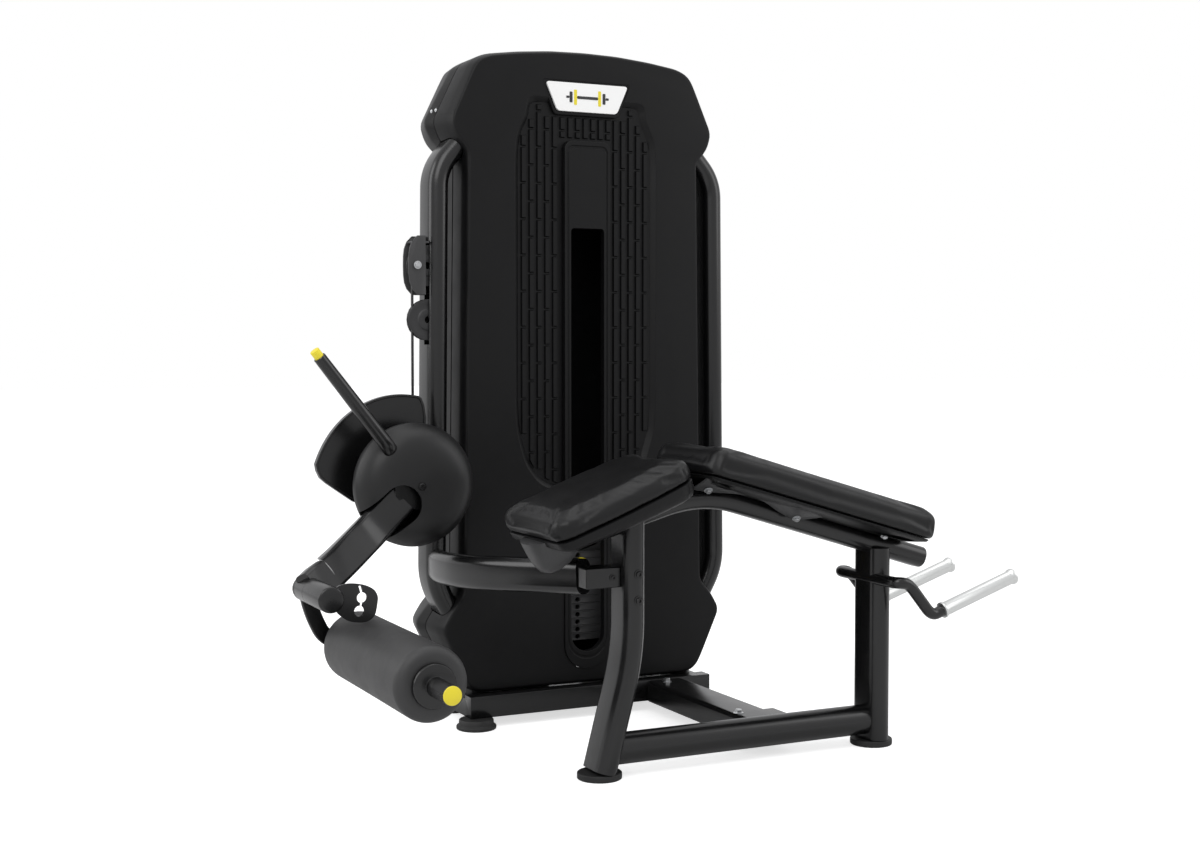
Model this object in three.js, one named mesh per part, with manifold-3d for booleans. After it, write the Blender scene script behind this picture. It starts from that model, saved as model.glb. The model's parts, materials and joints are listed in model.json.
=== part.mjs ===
// Prone leg curl machine with a selectorised weight stack, built from its separate pieces.
// Millimetres, +X along the bench towards the hand grips, +Y from the bench towards the tower, +Z up.
// Working frame: x = 0 on the tower's centre line, y = 0 on the bench's centre plane, z = 0 on the floor.
import * as THREE from 'three';
import { mergeVertices } from 'three/addons/utils/BufferGeometryUtils.js';
import Module from 'manifold-3d';

const wasm = await Module();
wasm.setup();

// ---- driving dimensions -------------------------------------------------------------------
const HEIGHT = 1500; // floor to the crown of the tower cover
const GAP = 0.3; // clearance wherever one piece rests on or passes through another
const WALL = 4; // moulded cover wall
const SHELL_CLEARANCE = 1.2; // round the spine tube inside the pad shells

const COVER = {
  front: 525, // y of the flat front face
  crease: 549, // y where the front chamfer starts
  seam: 606, // y of the joint between the two cover halves
  widest: 640, // y of the rear cover's widest section
  back: 735, // y of the rear face
  chamfer: 8, // how far the front face is drawn in from the outline
  hem: 66, // z of the lower edge
};
const COLUMN = { width: 46, depth: 92, y: 585, foot: 262, low: 353, high: 343, top: 1345 };
const STACK = { y: 628, halfWidth: 150, depth: 106, bottom: 159, pitch: 17.2, plates: 12, headHeight: 40 };
const LIFTED_FROM = 11; // the first plate carried by the selector pin
const ROD = { radius: 10, spread: 125, clearance: 1.5 };
const PIVOT = { x: -449, z: 547 };
// Sector plate in front of the column.
const CAM = { y: 512, rim: 16, radius: 188, growth: 6, from: 78, to: 167 };
// Cable drum behind it, in the side pulleys' plane.
const DRUM = { radius: 47, flange: 55, width: 16 };
const PULLEY = { x: -368, y: 566, radius: 45, cable: 34, width: 16, upper: 1013, lower: 895 };
const CABLE_RADIUS = 3;
const DISC = { radius: 130, rim: 441, side: 404, apex: 378 };
const SLEEVE = { x: -728, z: 367, radius: 25, near: 100, split: 210, far: 268, spindle: 15 };
const ROLLER = { x: -637, z: 254, radius: 68, near: -190, far: 245, axle: 9, cap: -286 };
const OVAL = { thin: 46, deep: 90 }; // flat-oval tube of the bench legs
const LEFT_LEG = { foot: -225, x: -165, bend: 240 };
const RIGHT_LEG = { x: 413 };
const RAIL = { z: 53.5, radius: 31 };
const SPINE = { apex: [-6, 550], left: [-250, 480], right: [529, 390], width: 62, height: 44 };
const THIGH = { low: [-384, 517], high: [-92, 630], thick: 44, width: 288 };
const CHEST = { high: [-32, 648], low: [508, 491], thick: 56, width: 262 };
const GRIP = { y: 105, low: [513, 290], high: [700, 351], radius: 15.5 };
const LINK = { thick: 12, width: 30 };
const FOOT = { radius: 44, height: 22 };
const BASE = { front: 486, top: 62, halfWidth: 300 }; // floor frame under the tower

// ---- small vector helpers -------------------------------------------------------------------
const vec = (x, y, z) => new THREE.Vector3(x, y, z);
const flat = (x, y) => new THREE.Vector2(x, y);
const rad = (degrees) => (degrees * Math.PI) / 180;
const polar = (cx, cz, radius, degrees) => [
  cx + radius * Math.cos(rad(degrees)),
  cz + radius * Math.sin(rad(degrees)),
];

// ---- solids ----------------------------------------------------------------------------------
function toManifold(geometry) {
  const bare = geometry.clone();
  for (const name of Object.keys(bare.attributes)) {
    if (name !== 'position') bare.deleteAttribute(name);
  }
  const welded = mergeVertices(bare, 1e-4);
  return new wasm.Manifold(
    new wasm.Mesh({
      numProp: 3,
      vertProperties: new Float32Array(welded.attributes.position.array),
      triVerts: new Uint32Array(welded.index.array),
    }),
  );
}

function toGeometry(manifold) {
  const bodies = manifold.decompose().sort((a, b) => b.volume() - a.volume());
  const result = bodies[0].getMesh();
  const geometry = new THREE.BufferGeometry();
  geometry.setAttribute('position', new THREE.BufferAttribute(new Float32Array(result.vertProperties), 3));
  geometry.setIndex(new THREE.BufferAttribute(new Uint32Array(result.triVerts), 1));
  geometry.computeVertexNormals();
  return geometry;
}

function join(...geometries) {
  return toGeometry(geometries.map(toManifold).reduce((sum, next) => sum.add(next)));
}

function cut(geometry, ...tools) {
  return toGeometry(tools.map(toManifold).reduce((rest, tool) => rest.subtract(tool), toManifold(geometry)));
}

function keepInside(geometry, limit) {
  return toGeometry(toManifold(geometry).intersect(toManifold(limit)));
}

// A closed solid through equally long rings of points; the end rings are capped flat.
function loft(rings) {
  const count = rings[0].length;
  const positions = rings.flat().flatMap((p) => [p.x, p.y, p.z]);
  const index = [];
  for (let r = 0; r < rings.length - 1; r += 1) {
    for (let i = 0; i < count; i += 1) {
      const a = r * count + i;
      const b = r * count + ((i + 1) % count);
      index.push(a, b, b + count, a, b + count, a + count);
    }
  }
  capRing(rings[0], 0, false, index);
  capRing(rings[rings.length - 1], (rings.length - 1) * count, true, index);
  const geometry = new THREE.BufferGeometry();
  geometry.setAttribute('position', new THREE.Float32BufferAttribute(positions, 3));
  geometry.setIndex(index);
  if (signedVolume(geometry) < 0) {
    for (let i = 0; i < index.length; i += 3) [index[i], index[i + 1]] = [index[i + 1], index[i]];
    geometry.setIndex(index);
  }
  return geometry;
}

function capRing(ring, start, forward, index) {
  const normal = vec(0, 0, 0);
  ring.forEach((p, i) => {
    normal.add(vec(0, 0, 0).crossVectors(p, ring[(i + 1) % ring.length]));
  });
  normal.normalize();
  const u = vec(0, 0, 0).subVectors(ring[1], ring[0]).normalize();
  const v = vec(0, 0, 0).crossVectors(normal, u);
  const outline = ring.map((p) => flat(p.dot(u), p.dot(v)));
  for (const [a, b, c] of THREE.ShapeUtils.triangulateShape(outline, [])) {
    const area = THREE.ShapeUtils.area([outline[a], outline[b], outline[c]]);
    if (area > 0 === forward) index.push(start + a, start + b, start + c);
    else index.push(start + a, start + c, start + b);
  }
}

function signedVolume(geometry) {
  const p = geometry.attributes.position;
  const index = geometry.index.array;
  const [a, b, c] = [vec(0, 0, 0), vec(0, 0, 0), vec(0, 0, 0)];
  let sum = 0;
  for (let i = 0; i < index.length; i += 3) {
    a.fromBufferAttribute(p, index[i]);
    b.fromBufferAttribute(p, index[i + 1]);
    c.fromBufferAttribute(p, index[i + 2]);
    sum += a.dot(b.cross(c));
  }
  return sum / 6;
}

function box(x0, x1, y0, y1, z0, z1) {
  const geometry = new THREE.BoxGeometry(x1 - x0, y1 - y0, z1 - z0);
  return geometry.translate((x0 + x1) / 2, (y0 + y1) / 2, (z0 + z1) / 2);
}

// A round bar between two points.
function bar(from, to, radius, sides = 16, endRadius = radius) {
  const along = vec(0, 0, 0).subVectors(to, from);
  const geometry = new THREE.CylinderGeometry(endRadius, radius, along.length(), sides);
  const turn = new THREE.Quaternion().setFromUnitVectors(vec(0, 1, 0), along.clone().normalize());
  geometry.applyQuaternion(turn);
  const middle = from.clone().add(to).multiplyScalar(0.5);
  return geometry.translate(middle.x, middle.y, middle.z);
}

// A turned piece about an axis parallel to Y through (x, z); profile is a list of [radius, y].
function turnedAlongY(profile, x, z, sides = 28) {
  const geometry = new THREE.LatheGeometry(profile.map(([r, y]) => flat(r, y)), sides);
  return geometry.translate(x, 0, z);
}

// A plate whose outline lies in the XZ plane, from y0 to y1.
function plateXZ(outline, y0, y1) {
  return loft([y0, y1].map((y) => outline.map(([x, z]) => vec(x, y, z))));
}

function ovalSection(width, height, steps = 5) {
  const upright = height > width;
  const r = Math.min(width, height) / 2;
  const reach = Math.max(width, height) / 2 - r;
  const points = [];
  for (const side of [0, 1]) {
    for (let i = 0; i <= steps; i += 1) {
      const angle = Math.PI * (side + i / steps) + (upright ? 0 : -Math.PI / 2);
      const shift = side === 0 ? reach : -reach;
      points.push([r * Math.cos(angle) + (upright ? 0 : shift), r * Math.sin(angle) + (upright ? shift : 0)]);
    }
  }
  return points;
}

function roundSection(radius, sides = 12) {
  return Array.from({ length: sides }, (_, i) => polar(0, 0, radius, (360 * i) / sides));
}

function roundedBoxSection(width, height, radius, steps = 3) {
  const points = [];
  for (let corner = 0; corner < 4; corner += 1) {
    const sx = corner === 0 || corner === 3 ? 1 : -1;
    const sy = corner < 2 ? 1 : -1;
    for (let i = 0; i <= steps; i += 1) {
      const [px, py] = polar(0, 0, radius, 90 * (corner + i / steps));
      points.push([sx * (width / 2 - radius) + px, sy * (height / 2 - radius) + py]);
    }
  }
  return points;
}

// A path with its inner corners rounded off by the given reach.
function roundedPath(points, reach, steps = 4) {
  const path = [points[0]];
  for (let i = 1; i < points.length - 1; i += 1) {
    const before = points[i].clone().lerp(points[i - 1], reach / points[i].distanceTo(points[i - 1]));
    const after = points[i].clone().lerp(points[i + 1], reach / points[i].distanceTo(points[i + 1]));
    path.push(...new THREE.QuadraticBezierCurve3(before, points[i], after).getPoints(steps));
  }
  path.push(points[points.length - 1]);
  return path;
}

// Sweeps a flat section along a path; side is the direction of the section's first coordinate.
function sweep(path, section, side) {
  const rings = path.map((point, i) => {
    const ahead = path[Math.min(i + 1, path.length - 1)];
    const behind = path[Math.max(i - 1, 0)];
    const along = vec(0, 0, 0).subVectors(ahead, behind).normalize();
    const up = vec(0, 0, 0).crossVectors(along, side).normalize();
    const across = vec(0, 0, 0).crossVectors(up, along);
    return section.map(([u, v]) => point.clone().addScaledVector(across, u).addScaledVector(up, v));
  });
  return loft(rings);
}

// ---- materials -----------------------------------------------------------------------------------
const SLOTS = {
  black_frame_paint: [0x141415, 0.28, 0.3],
  black_cover_plastic: [0x1a1a1b, 0.45, 0],
  charcoal_machined_paint: [0x3a3a3c, 0.5, 0.2],
  black_vinyl: [0x101011, 0.42, 0],
  black_foam_skin: [0x151516, 0.5, 0],
  silver_grip_metal: [0xb9bbbd, 0.3, 1],
  bright_rod_steel: [0xc4c6c8, 0.2, 1],
  black_cable_coating: [0x0c0c0c, 0.5, 0],
  black_pulley_nylon: [0x1d1d1e, 0.5, 0],
  white_badge_plastic: [0xf2f2f0, 0.4, 0],
  yellow_plastic: [0xf2c314, 0.4, 0],
  black_rubber: [0x121212, 0.8, 0],
};

const machine = new THREE.Group();
machine.name = 'prone_leg_curl_machine';

function add(name, geometry, slot) {
  const [color, roughness, metalness] = SLOTS[slot];
  const material = new THREE.MeshStandardMaterial({ color, roughness, metalness, name: slot });
  const mesh = new THREE.Mesh(geometry, material);
  mesh.name = name;
  machine.add(mesh);
  return geometry;
}

// ---- tower ------------------------------------------------------------------------------------------
// Half outline of the cover, from the middle of the hem up the right side to the crown.
function coverHalf(spread) {
  return [
    [252, COVER.hem],
    [276, COVER.hem + 4],
    [294, COVER.hem + 18],
    [308 + spread * 0.5, 110],
    [356 + spread, 216],
    [332 + spread * 0.6, 258],
    [303, 290],
    [290, 1262],
    [318 + spread * 0.6, 1292],
    [330 + spread, 1333],
    [282 + spread * 0.5, 1440],
    [272 + spread * 0.5, 1458],
    [256, 1472],
    [232, 1481],
    [160, 1491],
    [80, 1498],
    [0, HEIGHT],
  ];
}

function coverOutline(spread, inset) {
  const right = coverHalf(spread);
  const left = right.slice(0, -1).reverse().map(([x, z]) => [-x, z]);
  return drawnIn([...right, ...left], inset);
}

// Moves every point of a counter-clockwise outline inwards by the same distance.
function drawnIn(outline, inset) {
  if (inset === 0) return outline;
  const count = outline.length;
  return outline.map(([x, z], i) => {
    const [px, pz] = outline[(i + count - 1) % count];
    const [nx, nz] = outline[(i + 1) % count];
    const before = flat(x - px, z - pz).normalize();
    const after = flat(nx - x, nz - z).normalize();
    const normal = flat(-(before.y + after.y), before.x + after.x).normalize();
    const stretch = Math.max(0.75, normal.dot(flat(-before.y, before.x)));
    return [x + (normal.x * inset) / stretch, z + (normal.y * inset) / stretch];
  });
}

const ringAt = (y, outline) => outline.map(([x, z]) => vec(x, y, z));

function columnPath(side, z0, z1) {
  const at = (x, z) => vec(side * x, COLUMN.y, z);
  const corners = [
    at(COLUMN.foot, z0),
    at(COLUMN.foot, 150),
    at(COLUMN.low, 315),
    at(COLUMN.high, 1225),
    at(COLUMN.foot, 1318),
    at(COLUMN.foot, z1),
  ];
  return [corners[0], ...roundedPath(corners, 24, 4).slice(1)];
}

function column(side, grow = 0) {
  const section = ovalSection(COLUMN.width + 2 * grow, COLUMN.depth + 2 * grow);
  return sweep(columnPath(side, BASE.top + GAP, COLUMN.top), section, vec(1, 0, 0));
}

function baseFrame() {
  const { front, top, halfWidth } = BASE;
  const bottom = FOOT.height + GAP;
  const beams = [
    box(-halfWidth, halfWidth, front, 590, bottom, top),
    box(-halfWidth, halfWidth, front, COVER.front - 2, bottom, top + 8),
    box(-292, 292, 686, 732, bottom, top),
    box(-292, -242, 560, 720, bottom, top),
    box(242, 292, 560, 720, bottom, top),
  ];
  const pillars = [-140, 70].map((x) => box(x, x + 70, 580, 700, 30, STACK.bottom - GAP));
  return join(...beams, ...pillars);
}

function sideColumns() {
  add('right_side_column', column(1), 'black_frame_paint');
  const reach = PULLEY.radius + 6;
  const slot = box(-400, -290, PULLEY.y - 13, PULLEY.y + 13, PULLEY.lower - reach, PULLEY.upper + reach);
  const pins = [PULLEY.lower, PULLEY.upper].map((z) =>
    bar(vec(PULLEY.x, PULLEY.y - 14, z), vec(PULLEY.x, PULLEY.y + 13.5, z), 7),
  );
  add('left_side_column', join(cut(column(-1), slot), ...pins), 'black_frame_paint');
}

// Outline of the sunk, ribbed field on the front face.
function ribField() {
  const right = [
    [66, 508],
    [118, 528],
    [152, 572],
    [172, 640],
    [177, 700],
    [177, 1262],
    [172, 1310],
    [150, 1352],
    [146, 1392],
  ];
  return [...right, ...right.slice().reverse().map(([x, z]) => [-x, z])];
}

function slotOutline(halfWidth, bottom, top, topRadius) {
  const points = [];
  for (let i = 0; i <= 10; i += 1) points.push(polar(0, bottom + halfWidth, halfWidth, 180 + 18 * i));
  for (let i = 0; i <= 4; i += 1) {
    points.push(polar(halfWidth - topRadius, top - topRadius, topRadius, 22.5 * i));
  }
  for (let i = 0; i <= 4; i += 1) {
    points.push(polar(topRadius - halfWidth, top - topRadius, topRadius, 90 + 22.5 * i));
  }
  return points;
}

const BADGE = { top: 1426, bottom: 1362, topHalf: 102, bottomHalf: 74, corner: 8 };

function badgeOutline(grow) {
  const h = grow;
  return [
    [-BADGE.bottomHalf - h, BADGE.bottom + BADGE.corner - h],
    [-BADGE.bottomHalf + BADGE.corner - h, BADGE.bottom - h],
    [BADGE.bottomHalf - BADGE.corner + h, BADGE.bottom - h],
    [BADGE.bottomHalf + h, BADGE.bottom + BADGE.corner - h],
    [BADGE.topHalf + h, BADGE.top - BADGE.corner + h],
    [BADGE.topHalf - BADGE.corner + h, BADGE.top + h],
    [-BADGE.topHalf + BADGE.corner - h, BADGE.top + h],
    [-BADGE.topHalf - h, BADGE.top - BADGE.corner + h],
  ];
}

// The covers have no floor: the frame's pillars come up through this opening.
function hemOpening() {
  return box(-238, 238, COVER.crease + 10, COVER.back - 14, COVER.hem - 5, COVER.hem + 20);
}

function frontCover() {
  const outer = loft([
    ringAt(COVER.seam, coverOutline(8, 0)),
    ringAt(COVER.crease, coverOutline(0, 0)),
    ringAt(COVER.front, coverOutline(0, COVER.chamfer)),
  ]);
  const hollow = loft([
    ringAt(COVER.seam + 1, coverOutline(8, WALL)),
    ringAt(COVER.crease + 1, coverOutline(0, WALL)),
    ringAt(COVER.front + WALL + 4, coverOutline(0, COVER.chamfer + WALL)),
  ]);
  const window = plateXZ(slotOutline(57, 103, 1298, 20), COVER.front - 20, COVER.front + 20);
  const field = plateXZ(ribField(), COVER.front - 20, COVER.front + WALL);
  const recess = plateXZ(badgeOutline(6), COVER.front - 20, COVER.front + 3);
  const shell = cut(outer, hollow, field, recess, window, hemOpening());
  return cut(shell, column(-1, 1.5), column(1, 1.5));
}

function rearCover() {
  const y0 = COVER.seam + GAP;
  const outer = loft([
    ringAt(y0, coverOutline(8, 0)),
    ringAt(COVER.widest, coverOutline(18, 0)),
    ringAt(COVER.back - 26, coverOutline(6, 4)),
    ringAt(COVER.back, coverOutline(0, 30)),
  ]);
  const hollow = loft([
    ringAt(y0 - 1, coverOutline(8, WALL)),
    ringAt(COVER.widest, coverOutline(18, WALL)),
    ringAt(COVER.back - 27, coverOutline(6, 4 + WALL)),
    ringAt(COVER.back - WALL, coverOutline(0, 32)),
  ]);
  return cut(outer, hollow, hemOpening(), column(-1, 1.5), column(1, 1.5));
}

function windowFrame() {
  const plate = plateXZ(slotOutline(56.6, 103.4, 1297.6, 19.6), COVER.front - 5, COVER.front + 8);
  const opening = plateXZ(slotOutline(41, 143, 1102, 8), COVER.front - 20, COVER.front + 20);
  const groove = cut(
    plateXZ(slotOutline(49, 128, 1286, 14), COVER.front - 20, COVER.front - 2),
    plateXZ(slotOutline(45, 136, 1280, 11), COVER.front - 21, COVER.front),
  );
  return cut(plate, opening, groove);
}

function topCrossmember() {
  return box(-286, 286, 585, 671, COLUMN.top + GAP, COLUMN.top + 48);
}

function pulley(x, y, z) {
  const { radius, cable, width } = PULLEY;
  const bore = 7.6;
  const floor = cable - CABLE_RADIUS - GAP;
  return turnedAlongY(
    [
      [bore, y - width / 2],
      [22, y - width / 2],
      [24, y - width / 2 + 2],
      [radius - 10, y - width / 2 + 2],
      [radius, y - width / 2],
      [radius, y - width / 2 + 2],
      [floor, y - 3.5],
      [floor, y + 3.5],
      [radius, y + width / 2 - 2],
      [radius, y + width / 2],
      [radius - 10, y + width / 2 - 2],
      [24, y + width / 2 - 2],
      [22, y + width / 2],
      [bore, y + width / 2],
      [bore, y - width / 2],
    ],
    x,
    z,
    24,
  );
}

const TOP_PULLEY = { x: PULLEY.cable, z: 1272 };

function topPulleyBracket() {
  const { x, z } = TOP_PULLEY;
  const cheek = [
    [x - 30, COLUMN.top - GAP],
    ...[200, 230, 270, 310, 340].map((angle) => polar(x, z, 24, angle)),
    [x + 30, COLUMN.top - GAP],
  ];
  const y = STACK.y;
  return join(
    plateXZ(cheek, y - 17, y - 12),
    plateXZ(cheek, y + 12, y + 17),
    box(x - 30, x + 30, y - 17, y + 17, COLUMN.top - 8, COLUMN.top - GAP),
    bar(vec(x, y - 22, z), vec(x, y + 22, z), 7),
  );
}

function sidePulleyBracket() {
  const left = -417;
  const cheek = [];
  const middle = PULLEY.upper;
  for (let i = 0; i <= 8; i += 1) {
    const t = -1 + i / 4;
    cheek.push([left + 14 * t ** 4 + 6 * t * t, middle + 64 * Math.sign(t) * Math.abs(t) ** 0.8]);
  }
  const upTo = (right) => [...cheek, [right, middle + 64], [right, middle - 64]];
  const head = bar(vec(-399, PULLEY.y - 28, middle), vec(-399, PULLEY.y - 20, middle), 7, 6);
  const bridgeFoot = middle + PULLEY.radius + 3;
  const bridge = box(-408, -370, PULLEY.y - 22, PULLEY.y + 18, bridgeFoot, bridgeFoot + 4);
  const cheeks = join(
    plateXZ(upTo(-378), PULLEY.y - 22, PULLEY.y - 18),
    plateXZ(upTo(-352), PULLEY.y + 14, PULLEY.y + 18),
    bridge,
    head,
  );
  return cut(cheeks, column(-1, GAP));
}

// The bearing block bolted to the column's outer side, with a fixed stub shaft along Y.
function pivotBracket() {
  const y0 = PULLEY.y + 18;
  const block = join(
    turnedAlongY([[0, y0], [42, y0], [42, y0 + 44], [0, y0 + 44]], PIVOT.x, PIVOT.z, 32),
    box(PIVOT.x, -352, y0 + 4, y0 + 40, PIVOT.z - 36, PIVOT.z + 36),
    bar(vec(PIVOT.x, 452, PIVOT.z), vec(PIVOT.x, y0 + 20, PIVOT.z), 15),
  );
  return cut(block, column(-1, GAP));
}

function buildTower() {
  add('tower_base_frame', baseFrame(), 'black_frame_paint');
  sideColumns();
  add('top_crossmember', topCrossmember(), 'black_frame_paint');
  add('front_cover', frontCover(), 'black_cover_plastic');
  add('rear_cover', rearCover(), 'black_cover_plastic');
  add('window_frame', windowFrame(), 'black_cover_plastic');
  add('name_badge', plateXZ(badgeOutline(0), COVER.front - 4, COVER.front + 3 - GAP), 'white_badge_plastic');
  add('top_pulley_bracket', topPulleyBracket(), 'charcoal_machined_paint');
  add('top_pulley', pulley(TOP_PULLEY.x, STACK.y, TOP_PULLEY.z), 'black_pulley_nylon');
  add('side_pulley_bracket', sidePulleyBracket(), 'charcoal_machined_paint');
  add('side_pulley_upper', pulley(PULLEY.x, PULLEY.y, PULLEY.upper), 'black_pulley_nylon');
  add('side_pulley_lower', pulley(PULLEY.x, PULLEY.y, PULLEY.lower), 'black_pulley_nylon');
  add('pivot_bracket', pivotBracket(), 'black_frame_paint');
  for (const [name, side] of [['left', -1], ['right', 1]]) {
    const x = side * ROD.spread;
    const rod = bar(vec(x, STACK.y, STACK.bottom), vec(x, STACK.y, COLUMN.top), ROD.radius);
    add(`guide_rod_${name}`, rod, 'bright_rod_steel');
  }
  for (const [name, x, y] of [
    ['front_left', -285, 492],
    ['front_right', 285, 492],
    ['rear_left', -262, 690],
    ['rear_right', 262, 690],
  ]) {
    add(`tower_foot_${name}`, footDisc(x, y), 'black_rubber');
  }
}

// A round foot whose sole is flat on the floor.
function footDisc(x, y) {
  const { radius, height } = FOOT;
  const profile = [
    [0, 0],
    [radius - 2, 0],
    [radius, 2],
    [radius, 8],
    [radius - 5, 10],
    [radius - 7, height],
    [0, height],
  ];
  const geometry = new THREE.LatheGeometry(profile.map(([r, z]) => flat(r, z)), 20);
  return geometry.rotateX(Math.PI / 2).translate(x, y, 0);
}

// ---- weight stack -----------------------------------------------------------------------------------
function stackPlate(z0, z1) {
  const { halfWidth, depth, y } = STACK;
  const body = box(-halfWidth, halfWidth, y - depth / 2, y + depth / 2, z0, z1);
  const bores = [-ROD.spread, ROD.spread].map((x) =>
    bar(vec(x, y, z0 - 5), vec(x, y, z1 + 5), ROD.radius + ROD.clearance, 12),
  );
  return cut(body, ...bores, bar(vec(0, y, z0 - 5), vec(0, y, z1 + 5), 14, 12));
}

function buildStack() {
  const { bottom, pitch, plates, y, depth, headHeight } = STACK;
  const pinZ = bottom + (LIFTED_FROM - 0.5) * pitch;
  const pinBore = (z) => bar(vec(0, y - depth / 2 - 5, z), vec(0, y, z), 5.7, 8);
  for (let i = 1; i <= plates; i += 1) {
    const z0 = bottom + (i - 1) * pitch;
    const plate = stackPlate(z0, z0 + pitch - GAP);
    const name = `weight_plate_${String(i).padStart(2, '0')}`;
    add(name, cut(plate, pinBore(z0 + pitch / 2)), 'charcoal_machined_paint');
  }
  const head = bottom + plates * pitch;
  add('head_plate', stackPlate(head, head + headHeight), 'charcoal_machined_paint');
  const rod = join(
    bar(vec(0, y, bottom + 2), vec(0, y, head + headHeight + 14), 12.5, 16),
    bar(vec(0, y, head + headHeight + GAP), vec(0, y, head + headHeight + 14), 20, 6),
  );
  const holes = Array.from({ length: plates }, (_, i) => {
    const z = bottom + (i + 0.5) * pitch;
    return bar(vec(0, y - 20, z), vec(0, y + 20, z), 5.7, 8);
  });
  add('selector_rod', cut(rod, ...holes), 'bright_rod_steel');
  const knobBack = y - depth / 2 - 2;
  const pin = turnedAlongY(
    [
      [0, knobBack - 30],
      [11, knobBack - 30],
      [14, knobBack - 27],
      [14, knobBack - 12],
      [9, knobBack],
      [5, knobBack],
      [5, y + 12],
      [0, y + 12],
    ],
    0,
    pinZ,
    24,
  );
  add('selector_pin', pin, 'yellow_plastic');
  const cableFoot = head + headHeight + 14 + GAP;
  const stackCable = bar(vec(0, y, cableFoot), vec(0, y, TOP_PULLEY.z), CABLE_RADIUS, 12);
  add('stack_cable', stackCable, 'black_cable_coating');
}

// ---- cam and arm ---------------------------------------------------------------------------------------
// The sector's rim keeps one radius, then swells slightly towards its low corner.
function camRadius(degrees) {
  const t = (degrees - CAM.from) / (CAM.to - CAM.from);
  return CAM.radius + CAM.growth * t ** 5;
}

// The sector plate's outline, from its hollowed right edge over the rim to the straight lower edge.
function camOutline() {
  const edge = [[58, 40], [100, 58], [147, 67.7], [172, 72.5], [185, 75.8]];
  const rim = [];
  for (let i = 0; i <= 18; i += 1) {
    const angle = CAM.from + ((CAM.to - CAM.from) * i) / 18;
    rim.push([camRadius(angle), angle]);
  }
  const corner = [[189, 171], [180, 175.5], [167, 179]];
  const low = [[139, 187.3], [114, 199.9], [58, 225], [58, 265], [58, 305], [58, 350]];
  return [...edge, ...rim, ...corner, ...low].map(([r, angle]) => polar(PIVOT.x, PIVOT.z, r, angle));
}

function cableDrum() {
  const { radius, flange, width } = DRUM;
  const floor = radius - CABLE_RADIUS - GAP;
  const y = PULLEY.y;
  return turnedAlongY(
    [
      [0, y - width / 2],
      [flange, y - width / 2],
      [flange, y - width / 2 + 2],
      [floor, y - 3.5],
      [floor, y + 3.5],
      [flange, y + width / 2 - 2],
      [flange, y + width / 2],
      [0, y + width / 2],
    ],
    PIVOT.x,
    PIVOT.z,
    32,
  );
}

// Sector plate, hub and cable drum, welded together and turning on the stub shaft.
function driveCam() {
  const [front, back] = [CAM.y - CAM.rim / 2, CAM.y + CAM.rim / 2];
  const plate = plateXZ(camOutline(), front, back);
  const pockets = [[front - 1, CAM.y - 3], [CAM.y + 3, back + 1]].map(([y0, y1]) => {
    const round = turnedAlongY([[0, y0 - 1], [46, y0 - 1], [46, y1 + 1], [0, y1 + 1]], PIVOT.x, PIVOT.z, 32);
    return cut(plateXZ(drawnIn(camOutline(), 5), y0, y1), round);
  });
  const hubBack = PULLEY.y + 14;
  const hub = turnedAlongY([[0, front], [34, front], [34, hubBack], [0, hubBack]], PIVOT.x, PIVOT.z, 32);
  const bore = bar(vec(PIVOT.x, 400, PIVOT.z), vec(PIVOT.x, 640, PIVOT.z), 15.4, 24);
  return cut(join(cut(plate, ...pockets), hub, cableDrum()), bore);
}

// The straight run of cable from the upper side pulley down to the drum.
function driveCable() {
  const x = PULLEY.x - PULLEY.cable;
  return bar(vec(x, PULLEY.y, PIVOT.z), vec(x, PULLEY.y, PULLEY.upper), CABLE_RADIUS, 12);
}

// The domed cap over the arm's hub, open at the back, with a gap for the arm.
function discCover() {
  const { radius, rim, side, apex } = DISC;
  const dome = (r, front, back) => {
    const profile = [[0, front]];
    for (let i = 1; i <= 5; i += 1) {
      const t = i / 5;
      profile.push([(r - 8) * t, front + (side - front) * (1 - Math.sqrt(1 - 0.93 * t * t)) * 1.2]);
    }
    profile.push([r - 2, side + 2], [r, side + 8], [r, back], [0, back]);
    return turnedAlongY(profile, PIVOT.x, PIVOT.z, 36);
  };
  const shell = cut(dome(radius, apex, rim), dome(radius - WALL, apex + WALL, rim + 5));
  const boss = turnedAlongY([[0, apex + 3], [16, apex + 3], [16, rim], [0, rim]], PIVOT.x, PIVOT.z, 24);
  return cut(join(shell, boss), armBar(2.5));
}

const ARM = { width: 72, depth: 34 };

function armBar(grow = 0) {
  const { x, z, split, far } = SLEEVE;
  const path = roundedPath(
    [
      vec(PIVOT.x - 32, 421, PIVOT.z - 28),
      vec(-544, 415, 460),
      vec(-630, 340, 411),
      vec(-700, 262, 382),
      vec(x, (split + far) / 2, z),
    ],
    18,
    3,
  );
  return sweep(path, roundedBoxSection(ARM.depth + 2 * grow, ARM.width + 2 * grow, 12), vec(0.25, 1, 0));
}

function alongSleeve(profile, sides = 40) {
  return turnedAlongY(profile, SLEEVE.x, SLEEVE.z, sides);
}

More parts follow.
